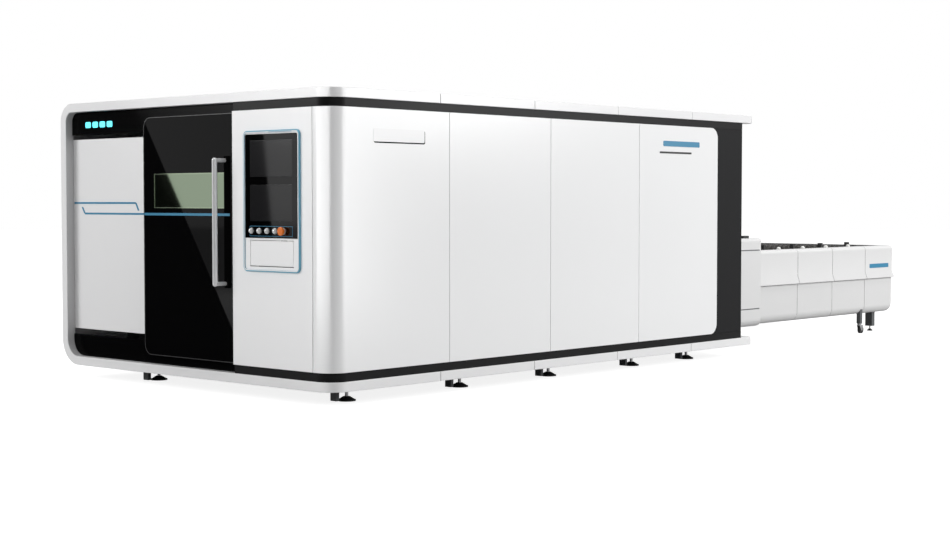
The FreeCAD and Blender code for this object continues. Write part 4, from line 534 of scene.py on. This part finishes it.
def rectangle(u0, u1, v0, v1, radius=0.0, steps=5):
    """The outline of a rectangle, with rounded corners where the radius isn't zero."""
    if radius == 0:
        return [(u0, v0), (u1, v0), (u1, v1), (u0, v1)]
    points = []
    corners = [(u1 - radius, v0 + radius, -90), (u1 - radius, v1 - radius, 0),
               (u0 + radius, v1 - radius, 90), (u0 + radius, v0 + radius, 180)]
    for u, v, start in corners:
        for i in range(steps + 1):
            angle = math.radians(start + 90 * i / steps)
            points.append((u + radius * math.cos(angle), v + radius * math.sin(angle)))
    return points


def in_space(point, level, axis):
    place = [level] * 3
    for index, value in zip(OTHER_AXES[axis], point):
        place[index] = value
    return place


def slab(name, outline, axis, low, high, finish_name, body, slot=None, edge=0.0):
    """A closed flat piece: the outline stands on the plane across the axis, from low to high."""
    work = bmesh.new()
    rings = [[work.verts.new(in_space(p, level, axis)) for p in outline] for level in (low, high)]
    for ring in rings:
        work.faces.new(ring)
    count = len(outline)
    for i in range(count):
        j = (i + 1) % count
        work.faces.new([rings[0][i], rings[0][j], rings[1][j], rings[1][i]])
    return finish_slab(name, work, finish_name, body, slot, edge)


def ring_slab(name, outer, inner, axis, low, high, finish_name, body, slot=None, edge=0.0):
    """A flat ring between two outlines of as many points."""
    work = bmesh.new()
    loops = [[work.verts.new(in_space(p, level, axis)) for p in outline]
             for level in (low, high) for outline in (outer, inner)]
    count = len(outer)
    for i in range(count):
        j = (i + 1) % count
        for a, b in ((0, 1), (2, 3), (0, 2), (1, 3)):
            work.faces.new([loops[a][i], loops[a][j], loops[b][j], loops[b][i]])
    return finish_slab(name, work, finish_name, body, slot, edge)


def finish_slab(name, work, finish_name, body, slot, edge):
    bmesh.ops.recalc_face_normals(work, faces=work.faces)
    mesh = bpy.data.meshes.new(name)
    work.to_mesh(mesh)
    work.free()
    obj = new_piece(name, mesh)
    if edge:
        rounding = obj.modifiers.new("edge", "BEVEL")
        rounding.width = edge
        rounding.segments = 2
        rounding.limit_method = "ANGLE"
        rounding.angle_limit = math.radians(50)
        applied(obj)
    return finished_mesh(obj, finish_name, body, slot)


FILM = 0.0008
LINE = 0.018

# %% [markdown]
# A blue line runs across the whole front: on the recess panel it splits in two slanted strokes, and
# on the door it goes on under the window. The recess keeps the field between the strokes bare.

# %% Blue lines on the door and the recess panel
door_low, door_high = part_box("door_panel")
recess_low, recess_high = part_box("recess_panel")
window_low, window_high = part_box("door_window")
line_z = window_low.z - 0.03
upper_z = line_z + 0.083
handle_low, handle_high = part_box("door_handle")
line_span = (line_z - LINE / 2, line_z + LINE / 2)
door_line = rectangle(door_low.x + 0.004, handle_high.x - 0.032, *line_span)
slab("door_line", door_line, "Y", door_low.y - FILM, door_low.y, "accent_blue", "door", "trim_blue")


def stroke(start, end, width=LINE * 0.8):
    """The outline of a straight stroke between two points of the front, with upright ends."""
    (x0, z0), (x1, z1) = start, end
    if abs(x1 - x0) < abs(z1 - z0):
        half = width * 0.7
        return [(x0 - half, z0), (x0 + half, z0), (x1 + half, z1), (x1 - half, z1)]
    half = width / 2
    return [(x0, z0 - half), (x1, z1 - half), (x1, z1 + half), (x0, z0 + half)]


SLANT = 0.034
left_turn = recess_low.x + 0.152
right_turn = recess_high.x - 0.212
strokes = {
    "recess_line_lower": ((left_turn, line_z), (recess_high.x - 0.01, line_z)),
    "recess_line_upper": ((recess_low.x + 0.12 - 0.11, upper_z), (right_turn, upper_z)),
    "recess_slant_left": ((left_turn - SLANT, line_z + 0.052), (left_turn, line_z)),
    "recess_slant_right": ((right_turn, upper_z), (right_turn + SLANT, upper_z - 0.058)),
}
for name, (start, end) in strokes.items():
    slab(name, stroke(start, end), "Y", recess_low.y - FILM, recess_low.y, "accent_blue", "machine",
         "trim_blue")
print(len(strokes) + 1, "blue lines")

# %% [markdown]
# A black strip stands behind the handle's right end: painted shade for the handle's shadow and dark
# reflection on the gloss door, made as a thin plate. A lighter line round the door's edge is a
# painted highlight for the bevel of that edge.

# %% Painted shade by the handle and painted highlight round the door
# The matt black strip is painted shade: the handle's shadow and dark reflection on the gloss door.
SHADE_STRIP_DEPTH, SHADE_STRIP_PAST_HANDLE = 0.003, 0.012
shade_strip = rectangle(handle_high.x - 0.031, handle_high.x + 0.040, handle_low.z - SHADE_STRIP_PAST_HANDLE,
                    handle_high.z + SHADE_STRIP_PAST_HANDLE, 0.004)
shade_strip_face = door_low.y - SHADE_STRIP_DEPTH
slab("handle_shade_strip", shade_strip, "Y", shade_strip_face, door_low.y, "painted_shade_black", "door", "door_black", 0.001)
shade_strip_line = rectangle(handle_high.x - 0.030, handle_high.x + 0.034, *line_span)
slab("shade_strip_line", shade_strip_line, "Y", shade_strip_face - FILM, shade_strip_face, "accent_blue", "door",
     "trim_blue")
# The lighter grey ring is a painted highlight along the door's edge.
EDGE_HIGHLIGHT_INSET, EDGE_HIGHLIGHT_WIDTH, DOOR_CORNER = 0.003, 0.006, 0.08
edge_highlight_loops = []
for inset in (EDGE_HIGHLIGHT_INSET, EDGE_HIGHLIGHT_INSET + EDGE_HIGHLIGHT_WIDTH):
    edge_highlight_loops.append(rectangle(door_low.x + inset, door_high.x - inset, door_low.z + inset,
                               door_high.z - inset, DOOR_CORNER - inset, 10))
ring_slab("door_edge_highlight", *edge_highlight_loops, "Y", door_low.y - FILM, door_low.y, "rim_black", "door", "door_black")
WINDOW_LEFT, WINDOW_RIGHT, WINDOW_BOTTOM, WINDOW_TOP = -0.389, 0.445, 1.337, 1.594
PANE_RIM_WIDTH = 0.007
pane_loops = []
for inset in (0.0, PANE_RIM_WIDTH):
    pane_loops.append(rectangle(WINDOW_LEFT + inset, WINDOW_RIGHT - inset, WINDOW_BOTTOM + inset,
                                WINDOW_TOP - inset))
PANE_FACE = window_low.y - FILM
ring_slab("pane_rim", *pane_loops, "Y", PANE_FACE, window_low.y, "pane_rim", "door", "window_glass")

# %% [markdown]
# A status lamp sits on the lintel: four rounded segments, all of one colour.

# %% Status lamp
lintel_low, lintel_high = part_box("lintel")
LAMP_LENGTH, LAMP_GAP, LAMP_HEIGHT, LAMP_SEGMENTS = 0.070, 0.024, 0.046, 4
lamp_z = (lintel_low.z + lintel_high.z) / 2 - 0.012
for i in range(LAMP_SEGMENTS):
    x = lintel_low.x + 0.185 + i * (LAMP_LENGTH + LAMP_GAP)
    outline = rectangle(x, x + LAMP_LENGTH, lamp_z - LAMP_HEIGHT / 2, lamp_z + LAMP_HEIGHT / 2, 0.012)
    slab(f"status_lamp_{i + 1}", outline, "Y", lintel_low.y - 0.003, lintel_low.y, "lamp_cyan", "machine",
         "trim_blue", 0.001)

# %% [markdown]
# The buttons stand in a thin blue frame on the glass. The name plates of the side, the table and
# the console stay blank: a raised white plate and plain colour bars, with no lettering. A black
# plate a little larger and lower than the side plate shows along its lower and rear edges: a
# painted shadow.

# %% Button frame and blank plates
glass_low, glass_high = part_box("console_glass")
FRAME_LEFT, FRAME_RIGHT, FRAME_BOTTOM, FRAME_TOP = 0.752, 1.200, 1.145, 1.216
FRAME_WIDTH, FRAME_CORNER = 0.0025, 0.004
frame_loops = []
for inset in (0.0, FRAME_WIDTH):
    frame_loops.append(rectangle(FRAME_LEFT + inset, FRAME_RIGHT - inset, FRAME_BOTTOM + inset,
                                 FRAME_TOP - inset, FRAME_CORNER))
ring_slab("button_frame", *frame_loops, "Y", glass_low.y - FILM / 2, glass_low.y, "accent_blue", "machine",
          "trim_blue")
side_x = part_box("side_panels_right")[1].x
front_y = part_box("control_panel")[0].y
# name: (start and end along the side, bottom and top, height off the sheet, finish, corner radius)
SIDE_PLATES = {
    # The black plate behind the badge is a painted shadow, a little lower and further back than the badge.
    "side_badge_back": ((0.404, 0.912), (1.789, 1.884), 0.0008, "painted_shade_black", 0.014),
    "side_badge": ((0.400, 0.906), (1.798, 1.888), 0.0016, "rail_white", 0.012),
    "side_bar_blue": ((3.795, 4.330), (1.850, 1.896), 0.0012, "accent_blue", 0.010),
    "side_bar_dark": ((3.745, 4.210), (1.790, 1.806), 0.0010, "rim_black", 0.006),
}
for name, (along, z, proud, finish_name, radius) in SIDE_PLATES.items():
    outline = rectangle(front_y + along[0], front_y + along[1], *z, radius)
    slab(name, outline, "X", side_x, side_x + proud, finish_name, "machine", "trim_blue", 0.0004)
table_x = 1.125  # the upper covers' side, which stands inside their ledge
outline = rectangle(front_y + 8.150, front_y + 8.560, 0.684, 0.728, 0.008)
slab("table_bar_blue", outline, "X", table_x, table_x + 0.0015, "accent_blue", "machine", "trim_blue", 0.0004)
bezel_low, bezel_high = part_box("console_bezel")
LIP_INSET, LIP_WIDTH, BEZEL_CORNER = 0.0085, 0.007, 0.038
lip_loops = []
for inset in (LIP_INSET, LIP_INSET + LIP_WIDTH):
    lip_loops.append(rectangle(bezel_low.x + inset, bezel_high.x - inset, bezel_low.z + inset,
                               bezel_high.z - inset, BEZEL_CORNER - inset, 8))
ring_slab("bezel_lip", *lip_loops, "Y", bezel_low.y - FILM, bezel_low.y, "rail_white", "machine",
          "cladding_white")
outline = rectangle(0.955, 1.195, bezel_high.z - 0.0135, bezel_high.z - 0.0105)
slab("console_mark", outline, "Y", bezel_low.y - 2 * FILM, bezel_low.y - FILM, "accent_blue", "machine",
     "trim_blue")
print("plates ready")

# %% [markdown]
# Warm air leaves through louvres in the rear sheet; their slots are thin dark blocks on the sheet,
# painted shade for the openings. Small dark pegs along the waiting pallet keep the sheet of metal
# from sliding off.

# %% Painted louvre shade and pallet pegs
rear_low, rear_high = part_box("rear_panel")
LOUVRE_SHADE = (0.42, 0.012, 0.004)
louvre_shade_wires = []
for x in (-0.62, 0.62):
    louvre_shade_wires.append([(x, rear_high.y, 1.36), (x, rear_high.y, 1.78)])
# The louvre blocks are painted shade: dark blocks on the sheet stand for the shade in the openings.
slot_shades.make("rear_louvre_shades", louvre_shade_wires, (0, 1, 0), 0.03, LOUVRE_SHADE, "machine")
pallet_low, pallet_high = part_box("upper_pallet")
PEG = (0.044, 0.044, 0.066)
peg_z = pallet_high.z - 0.002
peg_wires = []
for x in (pallet_low.x + 0.035, pallet_high.x - 0.035):
    peg_wires.append([(x, pallet_low.y + 0.15, peg_z), (x, pallet_high.y - 0.15, peg_z)])
dark_pegs.make("pallet_pegs", peg_wires, (0, 0, 1), 0.55, PEG, "upper_pallet")

# %% [markdown]
# Two grooves run along each tall cover beside the enclosure, where its sheets meet. They are thin
# dark strips here, painted shade for the shadow line under each groove's step. The light-curtain
# heads on top of the covers are black, so a black cap goes round each of them; the white cover
# below them keeps its own finish.

# %% Painted shade in the grooves, and sensor caps on the tall covers
shroud_low, shroud_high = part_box("table_shroud")
GROOVE_SHADE_WIDTH = 0.010
GROOVE_SHADE_HEIGHTS = {"upper": 0.925, "lower": 0.368}
SENSOR_X = 1.1035
SENSOR_CAP_WIDTH, SENSOR_CAP_HEIGHT = 0.039, 0.0248
SENSOR_CAP_START, SENSOR_CAP_END = 5.7235, 5.8165
for side, x in (("right", shroud_high.x), ("left", shroud_low.x)):
    for place, z in GROOVE_SHADE_HEIGHTS.items():
        # Each groove strip is painted shade: a dark line where a step in the cover throws its shadow.
        groove_shade = rectangle(shroud_low.y, shroud_high.y - 0.05, z - GROOVE_SHADE_WIDTH / 2, z + GROOVE_SHADE_WIDTH / 2)
        levels = sorted((x, x + math.copysign(FILM, x)))
        slab(f"groove_{place}_{side}", groove_shade, "X", *levels, "frame_grey", "machine", "frame_grey")
    middle = math.copysign(SENSOR_X, x)
    cap = rectangle(middle - SENSOR_CAP_WIDTH / 2, middle + SENSOR_CAP_WIDTH / 2,
                    front_y + SENSOR_CAP_START, front_y + SENSOR_CAP_END, 0.004)
    cap_top = shroud_high.z + 0.001
    slab(f"sensor_cap_{side}", cap, "Z", cap_top - SENSOR_CAP_HEIGHT, cap_top, "foot_black", "machine",
         "foot_black", 0.001)

# %% [markdown]
# The studio: a wide pale floor, an even white surround, and large soft lights from the rear right,
# the front left and above. The floor and the surround look brighter to the camera than they are to
# the machine, so the sheets keep their shading. Two softboxes that only reflections see draw the
# gradient round the right front corner. The camera stands off that corner.

# %% Studio and camera
def studio_plane(name, center, size):
    mesh = bpy.data.meshes.new(name)
    half = size / 2
    x, y, z = center
    signs = [(-1, -1), (1, -1), (1, 1), (-1, 1)]
    corners = [(x + across * half, y + along * half, z) for across, along in signs]
    mesh.from_pydata(corners, [], [(0, 1, 2, 3)])
    return new_piece(name, mesh)


floor = studio_plane("studio_floor", (0, 0, -0.0005), 120.0)
floor_finish = Finish("studio_floor", (0.42, 0.42, 0.42), 0.7, Specular_IOR_Level=0.1)
floor_glow = floor_finish.node("ShaderNodeEmission", None, {"Strength": 0.86})
floor_paint = Value(floor_finish, floor_finish.shader.outputs[0])
floor_sum = floor_finish.node("ShaderNodeAddShader", None, [floor_paint, floor_glow])
seen_by_camera = floor_finish.node("ShaderNodeLightPath", output="Is Camera Ray")
floor_seen = floor_finish.node("ShaderNodeMixShader", None, [seen_by_camera, floor_paint, floor_sum])
surface = floor_finish.tree.nodes["Material Output"].inputs["Surface"]
floor_finish.tree.links.new(floor_seen.socket, surface)
floor.data.materials.append(floor_finish.material)

world = bpy.data.worlds.new("studio")
bpy.context.scene.world = world
world.use_nodes = True
surround = NodeMaker()
surround.tree = world.node_tree
dim = world.node_tree.nodes["Background"]
dim.inputs["Color"].default_value = (1, 1, 1, 1)
dim.inputs["Strength"].default_value = 0.52
white = surround.node("ShaderNodeBackground", None, {"Color": (1, 1, 1, 1)})
seen_by_camera = surround.node("ShaderNodeLightPath", output="Is Camera Ray")
lit = Value(surround, dim.outputs[0])
either = surround.node("ShaderNodeMixShader", None, [seen_by_camera, lit, white])
surround.tree.links.new(either.socket, surround.tree.nodes["World Output"].inputs[0])


def soft_light(name, spot, target, size, power):
    light = bpy.data.lights.new(name, "AREA")
    light.shape = "DISK"
    light.size = size
    light.energy = power
    obj = bpy.data.objects.new(name, light)
    bpy.context.scene.collection.objects.link(obj)
    obj.location = spot
    obj.rotation_euler = (Vector(target) - Vector(spot)).to_track_quat("-Z", "Y").to_euler()
    return obj


soft_light("key_rear_right", (13.0, 9.0, 6.0), (1.5, 0, 1.0), 7.0, 1400)
soft_light("key_front_left", (-9.0, -14.0, 6.0), (0, -4.3, 1.0), 7.0, 920)
soft_light("key_top", (2.0, -1.0, 13.0), (1.0, 0, 0), 12.0, 1000)

painted_sheets = bpy.data.collections.new("painted_sheets")
for piece in bpy.context.scene.objects:
    if any("white" in slot.material.name for slot in piece.material_slots if slot.material):
        painted_sheets.objects.link(piece)


def bright_card(name, centre_angle, half_angle, distance, power):
    """A softbox that only reflections see, standing round the right front corner.

    Angles are degrees from straight ahead of the front, turning towards the right side."""
    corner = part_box("corner_panel")[1]
    centre = math.radians(centre_angle)
    half = distance * math.tan(math.radians(half_angle))
    away = Vector((math.sin(centre), -math.cos(centre), 0))
    across = Vector((math.cos(centre), math.sin(centre), 0))
    middle = Vector((corner.x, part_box("corner_panel")[0].y, 0)) + away * distance
    base, top = Vector((0, 0, 0.02)), Vector((0, 0, 9.0))
    mesh = bpy.data.meshes.new(name)
    mesh.from_pydata([middle - across * half + base, middle + across * half + base,
                      middle + across * half + top, middle - across * half + top], [], [(0, 1, 2, 3)])
    card = new_piece(name, mesh)
    card.visible_camera = card.visible_diffuse = card.visible_shadow = False
    card_finish = Finish(name, (0, 0, 0), 1.0, Specular_IOR_Level=0.0, Emission_Strength=power)
    card_finish.shader.inputs["Emission Color"].default_value = (1, 1, 1, 1)
    card.data.materials.append(card_finish.material)
    card.light_linking.receiver_collection = painted_sheets


bright_card("softbox_front", -1.5, 38.5, 7.0, 10.0)
bright_card("softbox_side", 120, 14, 7.0, 6.0)


def mirrored_card(name, outline, plane_y, reach):
    """A studio flag that only reflections see, placed so that the front mirrors it at the outline.

    outline: points (x, z) on the front; the camera's mirror image behind the front gives each ray."""
    eye = camera.location.copy()
    eye.y = 2 * plane_y - eye.y
    corners = []
    for x, z in outline:
        spot = Vector((x, plane_y, z))
        corners.append(eye + (spot - eye) * (1 + reach / (plane_y - camera.location.y)))
    mesh = bpy.data.meshes.new(name)
    mesh.from_pydata(corners, [], [tuple(range(len(corners)))])
    card = new_piece(name, mesh)
    card.visible_camera = False
    card.visible_diffuse = False
    card.visible_shadow = False
    card.visible_transmission = False
    card_finish = Finish(name, (0.004, 0.004, 0.004), 0.9, Specular_IOR_Level=0.0)
    card.data.materials.append(card_finish.material)
    return card


camera = bpy.data.objects.new("camera", bpy.data.cameras.new("camera"))
bpy.context.scene.collection.objects.link(camera)
camera.data.lens = 62.06
camera.data.sensor_width = 36.0
camera.data.clip_end = 200.0
camera.location = (9.603, -11.802, 1.3855)
camera.rotation_euler = (math.radians(90 - 2.373), 0, math.radians(42.037))
bpy.context.scene.camera = camera
bpy.context.scene.view_settings.view_transform = "Standard"
print("camera at", tuple(camera.location))

# %% [markdown]
# A gloss black front is only as good as what it mirrors. Two dark flags stand close to the front,
# on the left. The white studio fills the rest, so each glossy sheet shows one clean slanted edge.

# %% Flags for the gloss black door and console
door_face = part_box("door_panel")[0].y
door_outline = [(-1.75, 2.33), (-0.70, 2.33), (-0.58, 2.11), (0.60, 0.35), (0.60, 0.12), (-1.75, 0.12)]
door_flag = mirrored_card("door_flag", door_outline, door_face, 0.5)
console_flag = mirrored_card("console_flag", [(0.66, 1.90), (0.897, 1.90), (0.998, 1.10), (0.66, 1.10)],
                             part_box("console_glass")[0].y, 0.8)
print("flags at", tuple(round(c, 2) for c in door_flag.data.vertices[0].co))
